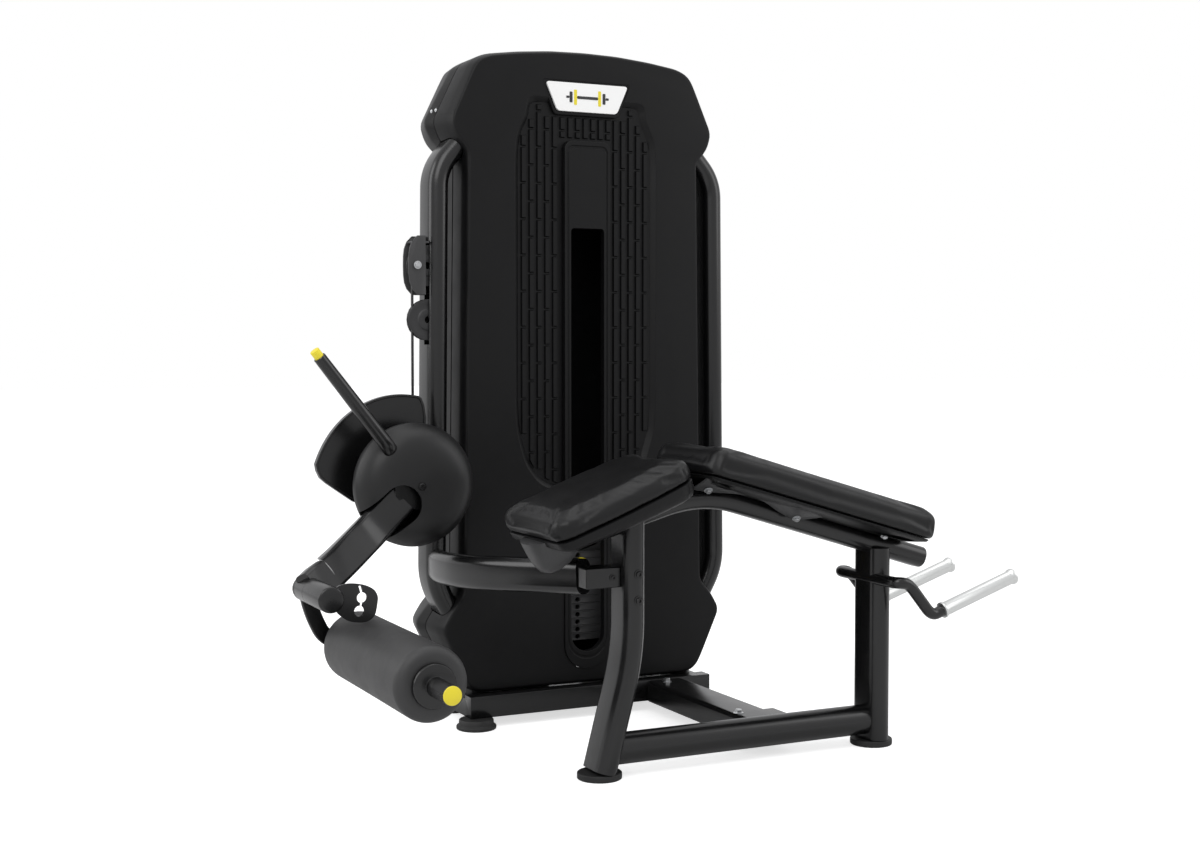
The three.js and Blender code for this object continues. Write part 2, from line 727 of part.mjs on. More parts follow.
// Hub on the stub shaft, bar, and the eye that the roller carrier's spindle passes through.
function swingArm() {
  const back = CAM.y - CAM.rim / 2 - GAP;
  const hubSteps = [[0, 404], [52, 404], [52, 438], [34, 438], [34, back], [0, back]];
  const hub = turnedAlongY(hubSteps, PIVOT.x, PIVOT.z);
  const bore = bar(vec(PIVOT.x, 450, PIVOT.z), vec(PIVOT.x, back + 5, PIVOT.z), 15.4, 24);
  const bossClear = turnedAlongY([[0, 300], [17, 300], [17, 445], [0, 445]], PIVOT.x, PIVOT.z, 24);
  const { radius, split, far, spindle } = SLEEVE;
  const [start, end] = [split + GAP, far - GAP];
  const eye = alongSleeve([[0, start], [radius, start], [radius, end], [0, end]]);
  const room = [
    alongSleeve([[0, 0], [62, 0], [62, start], [0, start]]),
    alongSleeve([[0, end], [62, end], [62, 420], [0, 420]]),
    alongSleeve([[0, start - 5], [spindle + GAP, start - 5], [spindle + GAP, end + 5], [0, end + 5]]),
  ];
  return cut(join(hub, armBar(), eye), bore, bossClear, ...room);
}

const LEVER = { root: vec(-509, 389, 619), tip: vec(-671, 362, 816), radius: 13, button: 10 };

function buildArm() {
  add('drive_cam', driveCam(), 'black_frame_paint');
  add('drive_cable', driveCable(), 'black_cable_coating');
  add('swing_arm', swingArm(), 'black_frame_paint');
  const along = LEVER.tip.clone().sub(LEVER.root).normalize();
  const at = (distance) => LEVER.tip.clone().addScaledVector(along, distance);
  const rod = bar(LEVER.root, LEVER.tip, LEVER.radius + 2, 20, LEVER.radius);
  const lever = cut(rod, bar(at(-24), at(5), LEVER.button + 0.4, 24));
  const cover = cut(discCover(), bar(LEVER.root, LEVER.tip, LEVER.radius + 3));
  add('disc_cover', cover, 'black_cover_plastic');
  add('start_lever', lever, 'black_frame_paint');
  add('release_button', bar(at(-14), at(17), LEVER.button, 24), 'yellow_plastic');
  buildRoller();
}

// Near sleeve, spindle through the arm's eye, and the cranked link down to the roller's axle.
function rollerLink() {
  const { x, z, radius, near, split, far, spindle } = SLEEVE;
  const y0 = far;
  const sleeve = alongSleeve(
    [
      [0, near],
      [radius - 3, near],
      [radius, near + 3],
      [radius, split],
      [spindle, split],
      [spindle, y0],
      [radius, y0],
      [radius, y0 + LINK.thick],
      [0, y0 + LINK.thick],
    ],
    24,
  );
  const y = y0 + LINK.thick / 2;
  const bends = [vec(x, y, z), vec(-716, y, 318), vec(-690, y, 264), vec(ROLLER.x, y, ROLLER.z)];
  const path = roundedPath(bends, 22, 4);
  const crank = sweep(path, roundedBoxSection(LINK.thick, LINK.width, 3, 1), vec(0, 1, 0));
  const back = y0 + LINK.thick;
  const eye = turnedAlongY([[0, y0], [22, y0], [22, back], [0, back]], ROLLER.x, ROLLER.z, 24);
  return join(sleeve, crank, eye);
}

// The index plate: a row of lock holes joined by a narrow curved slot.
function adjusterPlate() {
  const { x, z, radius, near } = SLEEVE;
  const y0 = near + 8;
  const outline = [
    [8, -22],
    [34, -44],
    [70, -48],
    [87, -36],
    [91, -15],
    [93, 0],
    [86, 14],
    [68, 24],
    [37, 29],
    [8, 24],
  ].map(([dx, dz]) => [x + dx, z + dz]);
  const reach = 61;
  const holes = [-24, 0].map((angle) => {
    const [hx, hz] = polar(x, z, reach, angle);
    return bar(vec(hx, y0 - 5, hz), vec(hx, y0 + 15, hz), 10, 20);
  });
  const slotHalf = 2.5;
  const sides = [reach - slotHalf, reach + slotHalf].map((r, k) =>
    Array.from({ length: 9 }, (_, i) => polar(x, z, r, k === 0 ? 15 - 8 * i : -49 + 8 * i)),
  );
  const slot = plateXZ(sides.flat(), y0 - 5, y0 + 15);
  const clear = alongSleeve([[0, y0 - 9], [radius + GAP, y0 - 9], [radius + GAP, y0 + 19], [0, y0 + 19]]);
  return cut(plateXZ(outline, y0, y0 + 6), ...holes, slot, clear);
}

function buildRoller() {
  const { x, z, radius, near, far, axle, cap } = ROLLER;
  const linkFace = SLEEVE.far - GAP;
  add('roller_link', rollerLink(), 'black_frame_paint');
  add('adjuster_plate', adjusterPlate(), 'black_frame_paint');
  const shaft = turnedAlongY(
    [
      [0, cap + 22],
      [17, cap + 22],
      [17, near - 14],
      [37, near - 13],
      [40, near - 10],
      [40, near - 2],
      [axle, near - 2],
      [axle, linkFace],
      [0, linkFace],
    ],
    x,
    z,
    24,
  );
  add('roller_axle', shaft, 'black_frame_paint');
  const capBack = cap + 22 - GAP;
  const endCap = [[0, cap], [14, cap], [17.5, cap + 4], [17.5, capBack], [0, capBack]];
  add('axle_end_cap', turnedAlongY(endCap, x, z, 32), 'yellow_plastic');
  const soft = 16;
  const profile = [[axle + 0.8, near]];
  for (let i = 0; i <= 4; i += 1) {
    const [r, y] = polar(radius - soft, near + soft, soft, -90 + 22.5 * i);
    profile.push([r, y]);
  }
  for (let i = 0; i <= 4; i += 1) {
    const [r, y] = polar(radius - soft, far - soft, soft, 22.5 * i);
    profile.push([r, y]);
  }
  profile.push([axle + 0.8, far], [axle + 0.8, near]);
  add('roller_foam', turnedAlongY(profile, x, z, 32), 'black_foam_skin');
}

// ---- bench ---------------------------------------------------------------------------------------------
function legPath(bottom) {
  const corners = [[LEFT_LEG.foot, bottom], [LEFT_LEG.x, LEFT_LEG.bend], [LEFT_LEG.x, 500]];
  return roundedPath(corners.map(([x, z]) => vec(x, 0, z)), 40);
}

function leftLeg() {
  const path = legPath(12);
  const tube = sweep(path, ovalSection(OVAL.thin, OVAL.deep), vec(1, 0, 0));
  const above = box(-400, 400, -200, 200, FOOT.height - 8, 600);
  return cut(join(keepInside(tube, above), footDisc(LEFT_LEG.foot, 0)), spineTube(GAP));
}

function rightLeg() {
  const path = [vec(RIGHT_LEG.x, 0, FOOT.height - 8), vec(RIGHT_LEG.x, 0, 418)];
  const tube = sweep(path, ovalSection(OVAL.thin, OVAL.deep), vec(1, 0, 0));
  return cut(join(tube, footDisc(RIGHT_LEG.x, 0)), spineTube(GAP), handleBar(GAP));
}

function lowerRail() {
  const rail = bar(vec(LEFT_LEG.foot, 0, RAIL.z), vec(RIGHT_LEG.x, 0, RAIL.z), RAIL.radius, 32);
  const section = ovalSection(OVAL.thin + 2 * GAP, OVAL.deep + 2 * GAP);
  return cut(
    rail,
    sweep(legPath(8), section, vec(1, 0, 0)),
    sweep([vec(RIGHT_LEG.x, 0, 5), vec(RIGHT_LEG.x, 0, 418)], section, vec(1, 0, 0)),
    box(-400, LEFT_LEG.foot, -100, 100, 0, 200),
    box(RIGHT_LEG.x, 600, -100, 100, 0, 200),
  );
}

function connectingRail() {
  const body = sweep(
    [vec(180, 10, 44), vec(180, BASE.front - GAP, 44)],
    roundedBoxSection(90, 50, 8),
    vec(1, 0, 0),
  );
  const saddle = sweep([vec(180, 12, 47), vec(180, 96, 47)], roundedBoxSection(112, 56, 9), vec(1, 0, 0));
  const clear = bar(vec(0, 0, RAIL.z), vec(400, 0, RAIL.z), RAIL.radius + GAP, 32);
  return cut(join(body, saddle), clear);
}

// The spine, or the same tube grown on every side and past both ends to cut a clearance for it.
function spineTube(grow = 0) {
  const [left, apex, right] = [SPINE.left, SPINE.apex, SPINE.right].map(([x, z]) => vec(x, 0, z));
  const pastEnd = (end) => end.clone().addScaledVector(end.clone().sub(apex).normalize(), grow);
  const path = roundedPath([pastEnd(left), apex, pastEnd(right)], 60, 8);
  const section = roundedBoxSection(SPINE.width + 2 * grow, SPINE.height + 2 * grow, 16 + grow);
  return sweep(path, section, vec(0, 1, 0));
}

// The frame of a pad: along runs down its length on the top face, out is the top face's normal.
function padFrame(start, end) {
  const along = vec(end[0] - start[0], 0, end[1] - start[1]);
  const length = along.length();
  along.normalize();
  return { origin: vec(start[0], 0, start[1]), along, out: vec(-along.z, 0, along.x), length };
}

// A cushion or shell under it: a plan outline carried from one depth below the top face to another.
function padSolid(frame, widthAt, depths) {
  const steps = 10;
  const halfPlan = Array.from({ length: steps + 1 }, (_, i) => i / steps);
  const ring = (depth, inset) => {
    const point = (t, side) => {
      const s = inset + t * (frame.length - 2 * inset);
      const half = Math.max(widthAt(t) / 2 - inset, 4);
      return frame.origin
        .clone()
        .addScaledVector(frame.along, s)
        .addScaledVector(frame.out, -depth)
        .add(vec(0, side * half, 0));
    };
    const near = halfPlan.map((t) => point(t, -1));
    const far = halfPlan.map((t) => point(1 - t, 1));
    return [...near, ...far];
  };
  return loft(depths.map(([depth, inset]) => ring(depth, inset)));
}

// Width of a pad at t, with rounded ends, narrowing by the given shares towards its two ends.
function padWidth(full, narrowStart, narrowEnd) {
  return (t) => {
    const fromEnd = Math.min(t, 1 - t);
    const end = Math.min(1, fromEnd / 0.08);
    const rounding = 1 - 0.16 * (1 - end) ** 2;
    return full * rounding * (1 - narrowStart * (1 - t) ** 3 - narrowEnd * t ** 3);
  };
}

function thighParts() {
  const frame = padFrame(THIGH.low, THIGH.high);
  const width = padWidth(THIGH.width, 0.07, 0.17);
  const cushion = padSolid(frame, width, [
    [0, 10],
    [4, 3],
    [12, 0],
    [THIGH.thick - 6, 0],
    [THIGH.thick, 4],
  ]);
  const top = THIGH.thick + GAP;
  const shell = padSolid(frame, width, [
    [top, 6],
    [top + 8, 8],
    [top + 24, 42],
    [top + 34, 86],
  ]);
  const chin = padSolid(
    { ...frame, origin: frame.origin.clone().addScaledVector(frame.along, 70), length: 150 },
    () => 92,
    [
      [top + 10, 0],
      [top + 40, 6],
      [top + 52, 22],
    ],
  );
  return [cushion, cut(join(shell, chin), spineTube(SHELL_CLEARANCE), leftLegTube())];
}

function leftLegTube() {
  const section = ovalSection(OVAL.thin + 2, OVAL.deep + 2);
  return sweep([vec(LEFT_LEG.x, 0, 300), vec(LEFT_LEG.x, 0, 536)], section, vec(1, 0, 0));
}

function chestParts() {
  const frame = padFrame(CHEST.high, CHEST.low);
  const width = padWidth(CHEST.width, 0, 0.08);
  const cushion = padSolid(frame, width, [
    [0, 10],
    [4, 3],
    [12, 0],
    [CHEST.thick - 6, 0],
    [CHEST.thick, 4],
  ]);
  const top = CHEST.thick + GAP;
  const shell = padSolid(frame, width, [
    [top, 6],
    [top + 8, 8],
    [top + 20, 40],
    [top + 26, 70],
  ]);
  return [cushion, cut(shell, spineTube(SHELL_CLEARANCE))];
}

// The bent arm from the tower's left column to the bench, with the short bracket that meets the left leg.
function supportTube() {
  const corners = [
    vec(-345, 575, 356),
    vec(-372, 470, 362),
    vec(-372, 320, 371),
    vec(-245, 30, 391),
  ];
  const tube = sweep(roundedPath(corners, 70, 6), roundedBoxSection(70, 44, 18), vec(0, 0, 1));
  const bracket = box(-262, -150, -18, 30, 372, 412);
  return cut(join(tube, bracket), column(-1, GAP), leftLegTube());
}

function handleBar(grow = 0) {
  const half = [
    vec(400, 0, 354),
    vec(400, GRIP.y, 354),
    vec(426, GRIP.y, 352),
    vec(488, GRIP.y, 281),
    vec(GRIP.low[0] - 1, GRIP.y, GRIP.low[1]),
  ];
  const far = roundedPath(half, 12, 3);
  const near = far.map((p) => vec(p.x, -p.y, p.z));
  return join(
    sweep(far, roundSection(12 + grow), vec(0.3, 0.2, 1)),
    sweep(near, roundSection(12 + grow), vec(0.3, 0.2, 1)),
    bar(vec(400, -20, 354), vec(400, 20, 354), 12 + grow, 20),
  );
}

function grip(side) {
  const from = vec(GRIP.low[0], side * GRIP.y, GRIP.low[1]);
  const to = vec(GRIP.high[0], side * GRIP.y, GRIP.high[1]);
  const length = from.distanceTo(to);
  const r = GRIP.radius;
  const profile = [
    [0, 0],
    [r - 2, 0],
    [r + 2.5, 2],
    [r + 2.5, 7],
    [r - 1, 12],
    [r - 1.5, length / 2],
    [r - 1, length - 14],
    [r + 2.5, length - 9],
    [r + 2.5, length - 4],
    [r - 2, length],
    [0, length],
  ];
  const turned = new THREE.LatheGeometry(profile.map(([a, b]) => flat(a, b)), 18);
  const heading = to.clone().sub(from).normalize();
  turned.applyQuaternion(new THREE.Quaternion().setFromUnitVectors(vec(0, 1, 0), heading));
  return turned.translate(from.x, from.y, from.z);
}

function buildBench() {
  add('left_leg', leftLeg(), 'black_frame_paint');
  add('right_leg', rightLeg(), 'black_frame_paint');
  add('lower_rail', lowerRail(), 'black_frame_paint');
  add('connecting_rail', connectingRail(), 'black_frame_paint');
  add('support_tube', supportTube(), 'black_frame_paint');
  const [thighCushion, thighShell] = thighParts();
  const [chestCushion, chestShell] = chestParts();
  add('bench_spine', spineTube(), 'black_frame_paint');
  add('thigh_pad', thighCushion, 'black_vinyl');
  add('thigh_pad_shell', thighShell, 'black_cover_plastic');
  add('chest_pad', chestCushion, 'black_vinyl');
  add('chest_pad_shell', chestShell, 'black_cover_plastic');
  const gripZones = [-1, 1].map((side) => grip(side));
  add('handle_bar', cut(handleBar(), ...gripZones), 'black_frame_paint');
  add('grip_near', gripZones[0], 'silver_grip_metal');
  add('grip_far', gripZones[1], 'silver_grip_metal');
}

buildTower();
buildStack();
buildArm();
buildBench();

// ---- part frame: origin at the middle of the footprint's bounding box, on the floor ----------------------
const bounds = new THREE.Box3().setFromObject(machine);
machine.position.set(-(bounds.min.x + bounds.max.x) / 2, -(bounds.min.y + bounds.max.y) / 2, -bounds.min.z);

export default machine;
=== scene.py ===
"""Looks for a prone leg curl machine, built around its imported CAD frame."""

import json
import math

import bmesh
import bpy
from mathutils import Matrix, Vector


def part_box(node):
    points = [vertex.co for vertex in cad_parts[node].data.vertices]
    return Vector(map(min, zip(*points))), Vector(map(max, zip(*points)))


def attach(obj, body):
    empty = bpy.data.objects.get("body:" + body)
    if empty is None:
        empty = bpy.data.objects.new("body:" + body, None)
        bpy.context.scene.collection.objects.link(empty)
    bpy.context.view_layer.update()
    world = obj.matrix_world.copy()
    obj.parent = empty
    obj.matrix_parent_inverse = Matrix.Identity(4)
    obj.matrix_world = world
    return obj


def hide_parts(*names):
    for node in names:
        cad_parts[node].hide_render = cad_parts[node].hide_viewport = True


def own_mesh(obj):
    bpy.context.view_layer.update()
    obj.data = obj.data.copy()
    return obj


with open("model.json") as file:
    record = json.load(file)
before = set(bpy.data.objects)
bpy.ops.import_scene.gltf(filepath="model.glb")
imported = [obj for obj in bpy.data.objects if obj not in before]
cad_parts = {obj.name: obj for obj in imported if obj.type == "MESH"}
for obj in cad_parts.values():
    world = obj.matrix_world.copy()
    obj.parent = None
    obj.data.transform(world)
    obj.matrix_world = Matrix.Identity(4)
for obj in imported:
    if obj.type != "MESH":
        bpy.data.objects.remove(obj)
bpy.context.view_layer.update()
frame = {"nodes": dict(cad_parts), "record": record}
MM = 0.001

# ---- working frame: millimetres, from the tower's middle in x, the bench's middle in y and the floor in z


def middle(node, axis):
    low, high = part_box(node)
    return (low[axis] + high[axis]) / 2


ORIGIN = Vector((middle("tower_base_frame", 0), middle("lower_rail", 1), 0))


def at(x, y, z):
    return Vector((x * MM, y * MM, z * MM)) + ORIGIN


def box_mm(node):
    """A CAD node's corners in the working frame, in millimetres."""
    low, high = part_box(node)
    return (low - ORIGIN) / MM, (high - ORIGIN) / MM


# ---- materials


def new_material(name):
    material = bpy.data.materials.new(name)
    material.use_nodes = True
    nodes = material.node_tree.nodes
    return material, nodes, material.node_tree.links, nodes["Principled BSDF"]


def value_range(nodes, links, source, low, high):
    node = nodes.new("ShaderNodeMapRange")
    node.inputs["To Min"].default_value = low
    node.inputs["To Max"].default_value = high
    links.new(source, node.inputs["Value"])
    return node.outputs["Result"]


def noise(nodes, links, coordinates, scale, detail=4.0, stretch=None):
    texture = nodes.new("ShaderNodeTexNoise")
    texture.inputs["Scale"].default_value = scale
    texture.inputs["Detail"].default_value = detail
    source = coordinates
    if stretch:
        mapping = nodes.new("ShaderNodeMapping")
        mapping.inputs["Scale"].default_value = stretch
        links.new(coordinates, mapping.inputs["Vector"])
        source = mapping.outputs["Vector"]
    links.new(source, texture.inputs["Vector"])
    return texture.outputs["Fac"]


def finish_material(name, color, rough, metal=0.0, coat=0.0, grain=900.0, bump=0.05, wear=0.25,
                    cells=False, stretch=None, shine=0.5):
    """A procedural surface: mottled colour, uneven gloss and a fine relief."""
    material, nodes, links, shader = new_material(name)
    coordinates = nodes.new("ShaderNodeTexCoord").outputs["Object"]
    broad = noise(nodes, links, coordinates, 7.0, 5.0)
    mix = nodes.new("ShaderNodeMix")
    mix.data_type = "RGBA"
    mix.inputs["A"].default_value = (*[c * (1 - wear) for c in color], 1)
    mix.inputs["B"].default_value = (*[min(1.0, c * (1 + wear)) for c in color], 1)
    links.new(broad, mix.inputs["Factor"])
    links.new(mix.outputs["Result"], shader.inputs["Base Color"])
    smears = noise(nodes, links, coordinates, 23.0, 6.0, stretch)
    gloss = value_range(nodes, links, smears, rough * 0.8, min(1.0, rough * 1.25))
    links.new(gloss, shader.inputs["Roughness"])
    shader.inputs["Metallic"].default_value = metal
    shader.inputs["Specular IOR Level"].default_value = shine
    shader.inputs["Coat Weight"].default_value = coat
    shader.inputs["Coat Roughness"].default_value = 0.12
    if cells:
        relief = nodes.new("ShaderNodeTexVoronoi")
        relief.feature = "SMOOTH_F1"
        relief.inputs["Scale"].default_value = grain
        links.new(coordinates, relief.inputs["Vector"])
        height = relief.outputs["Distance"]
    else:
        height = noise(nodes, links, coordinates, grain, 3.0, stretch)
    relief_bump = nodes.new("ShaderNodeBump")
    relief_bump.inputs["Strength"].default_value = bump
    relief_bump.inputs["Distance"].default_value = 0.001
    links.new(height, relief_bump.inputs["Height"])
    links.new(relief_bump.outputs["Normal"], shader.inputs["Normal"])
    return material


MATERIALS = {
    "black_frame_paint": finish_material("frame_paint", (0.003, 0.003, 0.0032), 0.24, 0.0, 0.1, 500, 0.05),
    "black_cover_plastic": finish_material("cover_plastic", (0.0035, 0.0035, 0.0038), 0.4, 0.0, 0.0, 1500,
                                           0.08, shine=0.22),
    "charcoal_machined_paint": finish_material("plate_enamel", (0.035, 0.035, 0.036), 0.42, 0.0, 0.0, 900,
                                               0.1),
    "black_vinyl": finish_material("pad_vinyl", (0.0045, 0.0045, 0.0048), 0.38, 0.0, 0.0, 750, 0.14,
                                   cells=True, shine=0.3),
    "black_foam_skin": finish_material("foam_skin", (0.024, 0.024, 0.0245), 0.5, 0.0, 0.0, 1100, 0.2),
    "silver_grip_metal": finish_material("grip_metal", (0.72, 0.73, 0.72), 0.34, 1.0, 0.0, 420, 0.06, 0.06,
                                         stretch=(1, 9, 1)),
    "bright_rod_steel": finish_material("rod_steel", (0.62, 0.63, 0.64), 0.16, 1.0, 0.0, 600, 0.03, 0.05),
    "black_cable_coating": finish_material("cable_jacket", (0.006, 0.006, 0.006), 0.35, 0.0, 0.0, 900, 0.1),
    "black_pulley_nylon": finish_material("pulley_nylon", (0.02, 0.02, 0.021), 0.4, 0.0, 0.0, 700, 0.08),
    "white_badge_plastic": finish_material("badge_enamel", (0.86, 0.86, 0.85), 0.3, 0.0, 0.4, 700, 0.02,
                                           0.03),
    "yellow_plastic": finish_material("yellow_plastic", (0.74, 0.62, 0.022), 0.4, 0.0, 0.1, 800, 0.08, 0.06),
    "black_rubber": finish_material("foot_rubber", (0.01, 0.01, 0.01), 0.6, 0.0, 0.0, 500, 0.3),
}
BADGE_INK = finish_material("badge_ink", (0.02, 0.02, 0.021), 0.35, 0.0, 0.2, 700, 0.02)
# The disc cover is the covers' black plastic with its base colour doubled: painted light standing in for the
# light on its dome; the higher shine is real gloss.
LIT_DISC_PLASTIC = finish_material("disc_plastic_painted_light", (0.007, 0.007, 0.0073), 0.4, 0.0, 0.0, 1500, 0.08, shine=0.4)
BOLT_ZINC = finish_material("bolt_zinc", (0.55, 0.56, 0.57), 0.28, 1.0, 0.0, 500, 0.05)


# ---- mesh building


def smooth_by_angle(obj, degrees=32):
    for polygon in obj.data.polygons:
        polygon.use_smooth = True
    obj.data.set_sharp_from_angle(angle=math.radians(degrees))


def make(name, verts, faces, slot, body, bevel=0.0, sharp=32, material=None):
    """A finished piece from points in metres; it rides on a CAD body."""
    mesh = bpy.data.meshes.new(name)
    mesh.from_pydata([tuple(v) for v in verts], [], faces)
    mesh.update()
    build = bmesh.new()
    build.from_mesh(mesh)
    bmesh.ops.recalc_face_normals(build, faces=build.faces)
    build.to_mesh(mesh)
    build.free()
    obj = bpy.data.objects.new(name, mesh)
    bpy.context.scene.collection.objects.link(obj)
    obj.data.materials.append(material or MATERIALS[slot])
    smooth_by_angle(obj, sharp)
    if bevel:
        add_bevel(obj, bevel, sharp)
    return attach(obj, body)


def painted(name, skin, body="frame", bevel=0.0, sharp=50):
    """A piece in the frame's black paint."""
    return make(name, *skin, "black_frame_paint", body, bevel, sharp)


def moulded(name, skin, bevel=0.0, sharp=38):
    """A fixed piece in the covers' black plastic."""
    return make(name, *skin, "black_cover_plastic", "frame", bevel, sharp)


def add_bevel(obj, width_mm, degrees=32):
    bevel = obj.modifiers.new("soft_edges", "BEVEL")
    bevel.width = width_mm * MM
    bevel.segments = 2
    bevel.limit_method = "ANGLE"
    bevel.angle_limit = math.radians(degrees)
    bevel.use_clamp_overlap = True
    bevel.harden_normals = True
    return bevel


def loft(rings):
    """Points and faces of a skin through equally long rings of points."""
    count = len(rings[0])
    verts = [p for ring in rings for p in ring]
    faces = []
    for r in range(len(rings) - 1):
        for i in range(count):
            a = r * count + i
            b = r * count + (i + 1) % count
            faces.append((a, b, b + count, a + count))
    faces.append(tuple(range(count - 1, -1, -1)))
    faces.append(tuple(range((len(rings) - 1) * count, len(rings) * count)))
    return verts, faces


def lathe_along_y(profile, x, z, sides=96):
    """A turned skin about an axis parallel to Y; profile is a list of (radius, y) from axis to axis."""
    rings = []
    for radius, y in profile:
        radius = max(radius, 0.01)
        turn = [2 * math.pi * i / sides for i in range(sides)]
        rings.append([at(x + radius * math.cos(a), y, z + radius * math.sin(a)) for a in turn])
    return loft(rings)


def plug(radius, y0, y1, x, z, sides=96):
    """A plain cylinder along Y, used only to cut bores and clearances."""
    return lathe_along_y([(0, y0), (radius, y0), (radius, y1), (0, y1)], x, z, sides)


def oval_section(width, height, steps=14):
    upright = height > width
    r = min(width, height) / 2
    reach = max(width, height) / 2 - r
    points = []
    for side in (0, 1):
        for i in range(steps + 1):
            angle = math.pi * (side + i / steps) + (0 if upright else -math.pi / 2)
            shift = reach if side == 0 else -reach
            u = r * math.cos(angle) + (0 if upright else shift)
            v = r * math.sin(angle) + (shift if upright else 0)
            points.append((u, v))
    return points


def rounded_box_section(width, height, radius, steps=8):
    points = []
    for corner in range(4):
        sx = 1 if corner in (0, 3) else -1
        sy = 1 if corner < 2 else -1
        for i in range(steps + 1):
            angle = math.pi / 2 * (corner + i / steps)
            points.append(
                (sx * (width / 2 - radius) + radius * math.cos(angle),
                 sy * (height / 2 - radius) + radius * math.sin(angle))
            )
    return points


def round_section(radius, sides=40):
    return [(radius * math.cos(2 * math.pi * i / sides), radius * math.sin(2 * math.pi * i / sides))
            for i in range(sides)]


def rounded_path(points, reach, steps=14):
    points = [Vector(p) for p in points]
    path = [points[0]]
    for before, corner, after in zip(points, points[1:], points[2:]):
        start = corner.lerp(before, min(0.5, reach / (corner - before).length))
        end = corner.lerp(after, min(0.5, reach / (corner - after).length))
        for i in range(steps + 1):
            t = i / steps
            path.append(start * (1 - t) ** 2 + corner * 2 * t * (1 - t) + end * t * t)
    path.append(points[-1])
    return path


def sweep(path, section, side):
    """A skin along a path; side is the direction of the section's first coordinate."""
    side = Vector(side)
    rings = []
    for i, point in enumerate(path):
        along = (path[min(i + 1, len(path) - 1)] - path[max(i - 1, 0)]).normalized()
        up = along.cross(side).normalized()
        across = up.cross(along)
        rings.append([at(*(point + across * u + up * v)) for u, v in section])
    return loft(rings)


def apply_boolean(obj, cutter_data):
    """Cuts a piece with a throwaway solid, then applies the result."""
    cutter = bpy.data.objects.new("cutter", bpy.data.meshes.new("cutter"))
    cutter.data.from_pydata([tuple(v) for v in cutter_data[0]], [], cutter_data[1])
    build = bmesh.new()
    build.from_mesh(cutter.data)
    bmesh.ops.recalc_face_normals(build, faces=build.faces)
    build.to_mesh(cutter.data)
    build.free()
    bpy.context.scene.collection.objects.link(cutter)
    modifier = obj.modifiers.new("cut", "BOOLEAN")
    modifier.operation = "DIFFERENCE"
    modifier.solver = "EXACT"
    modifier.object = cutter
    while obj.modifiers[0] != modifier:
        bpy.context.view_layer.objects.active = obj
        bpy.ops.object.modifier_move_up(modifier=modifier.name)
    bpy.context.view_layer.update()
    depsgraph = bpy.context.evaluated_depsgraph_get()
    others = [m for m in obj.modifiers if m != modifier]
    for other in others:
        other.show_viewport = False
    bpy.context.view_layer.update()
    result = bpy.data.meshes.new_from_object(obj.evaluated_get(depsgraph))
    for other in others:
        other.show_viewport = True
    obj.modifiers.remove(modifier)
    obj.data = result
    bpy.data.objects.remove(cutter)
    smooth_by_angle(obj)


def block(x0, x1, y0, y1, z0, z1):
    corners = [(x, y, z) for x in (x0, x1) for y in (y0, y1) for z in (z0, z1)]
    faces = [(0, 1, 3, 2), (4, 6, 7, 5), (0, 4, 5, 1), (2, 3, 7, 6), (0, 2, 6, 4), (1, 5, 7, 3)]
    return [at(*c) for c in corners], faces


def prism(outline, y0, y1):
    """A plate whose outline lies in the XZ plane."""
    return loft([[at(x, y, z) for x, z in outline] for y in (y0, y1)])


def rod_between(a, b, radius, sides=40):
    heading = (Vector(b) - Vector(a)).normalized()
    side = heading.cross(Vector((0.3, 0.9, 0.2))).normalized()
    return sweep([Vector(a), Vector(b)], round_section(radius, sides), side)


# ---- CAD nodes that keep their own shape


def dress_cad_nodes():
    slots = {entry["node"]: entry["material_slot"] for entry in frame["record"]["subparts"]}
    for name, obj in frame["nodes"].items():
        obj.data.materials.clear()
        obj.data.materials.append(MATERIALS[slots[name]])
        for polygon in obj.data.polygons:
            polygon.use_smooth = True
        weld = obj.modifiers.new("weld", "WELD")
        weld.merge_threshold = 0.00002
        bevel = add_bevel(obj, 0.9, 34)
        bevel.use_clamp_overlap = False


# ---- tower
COVER_FRONT, COVER_SEAM = box_mm("front_cover")[0].y, box_mm("front_cover")[1].y
COVER_CREASE = 549
COVER_BACK = box_mm("rear_cover")[1].y
COVER_WIDEST = 640
CROWN = box_mm("front_cover")[1].z
HEM = box_mm("front_cover")[0].z
CHAMFER = 8
FIELD_DEPTH = 10
FIELD_SLOPE = 12
FIELD_RIBBED = 159  # half the width that carries ribs
WALL = 4


def cover_half(spread):
    """Half the cover's outline, from the middle of the hem up the right side to the crown."""
    return [
        (252, HEM), (276, HEM + 4), (294, HEM + 18), (308 + spread * 0.5, 110),
        (356 + spread, 216), (332 + spread * 0.6, 258), (303, 290), (290, 1262),
        (318 + spread * 0.6, 1292), (330 + spread, 1333), (282 + spread * 0.5, 1440),
        (272 + spread * 0.5, 1458), (256, 1472), (232, 1481), (160, 1491), (80, 1498), (0, CROWN),
    ]


def drawn_in(outline, inset):
    """The outline with every point moved inwards by the same distance."""
    count = len(outline)
    result = []
    for i, (x, z) in enumerate(outline):
        before = (Vector((x, z)) - Vector(outline[i - 1])).normalized()
        after = (Vector(outline[(i + 1) % count]) - Vector((x, z))).normalized()
        normal = Vector((-(before.y + after.y), before.x + after.x)).normalized()
        stretch = max(0.75, normal.dot(Vector((-before.y, before.x))))
        result.append((x + normal.x * inset / stretch, z + normal.y * inset / stretch))
    return result


def eased(outline, reach=16, steps=4):
    """The outline with its corners turned into short curves."""
    result = []
    count = len(outline)
    for i, corner in enumerate(outline):
        corner = Vector(corner)
        before = Vector(outline[i - 1])
        after = Vector(outline[(i + 1) % count])
        start = corner.lerp(before, min(0.45, reach / (corner - before).length))
        end = corner.lerp(after, min(0.45, reach / (corner - after).length))
        for k in range(steps + 1):
            t = k / steps
            result.append(tuple(start * (1 - t) ** 2 + corner * 2 * t * (1 - t) + end * t * t))
    return result


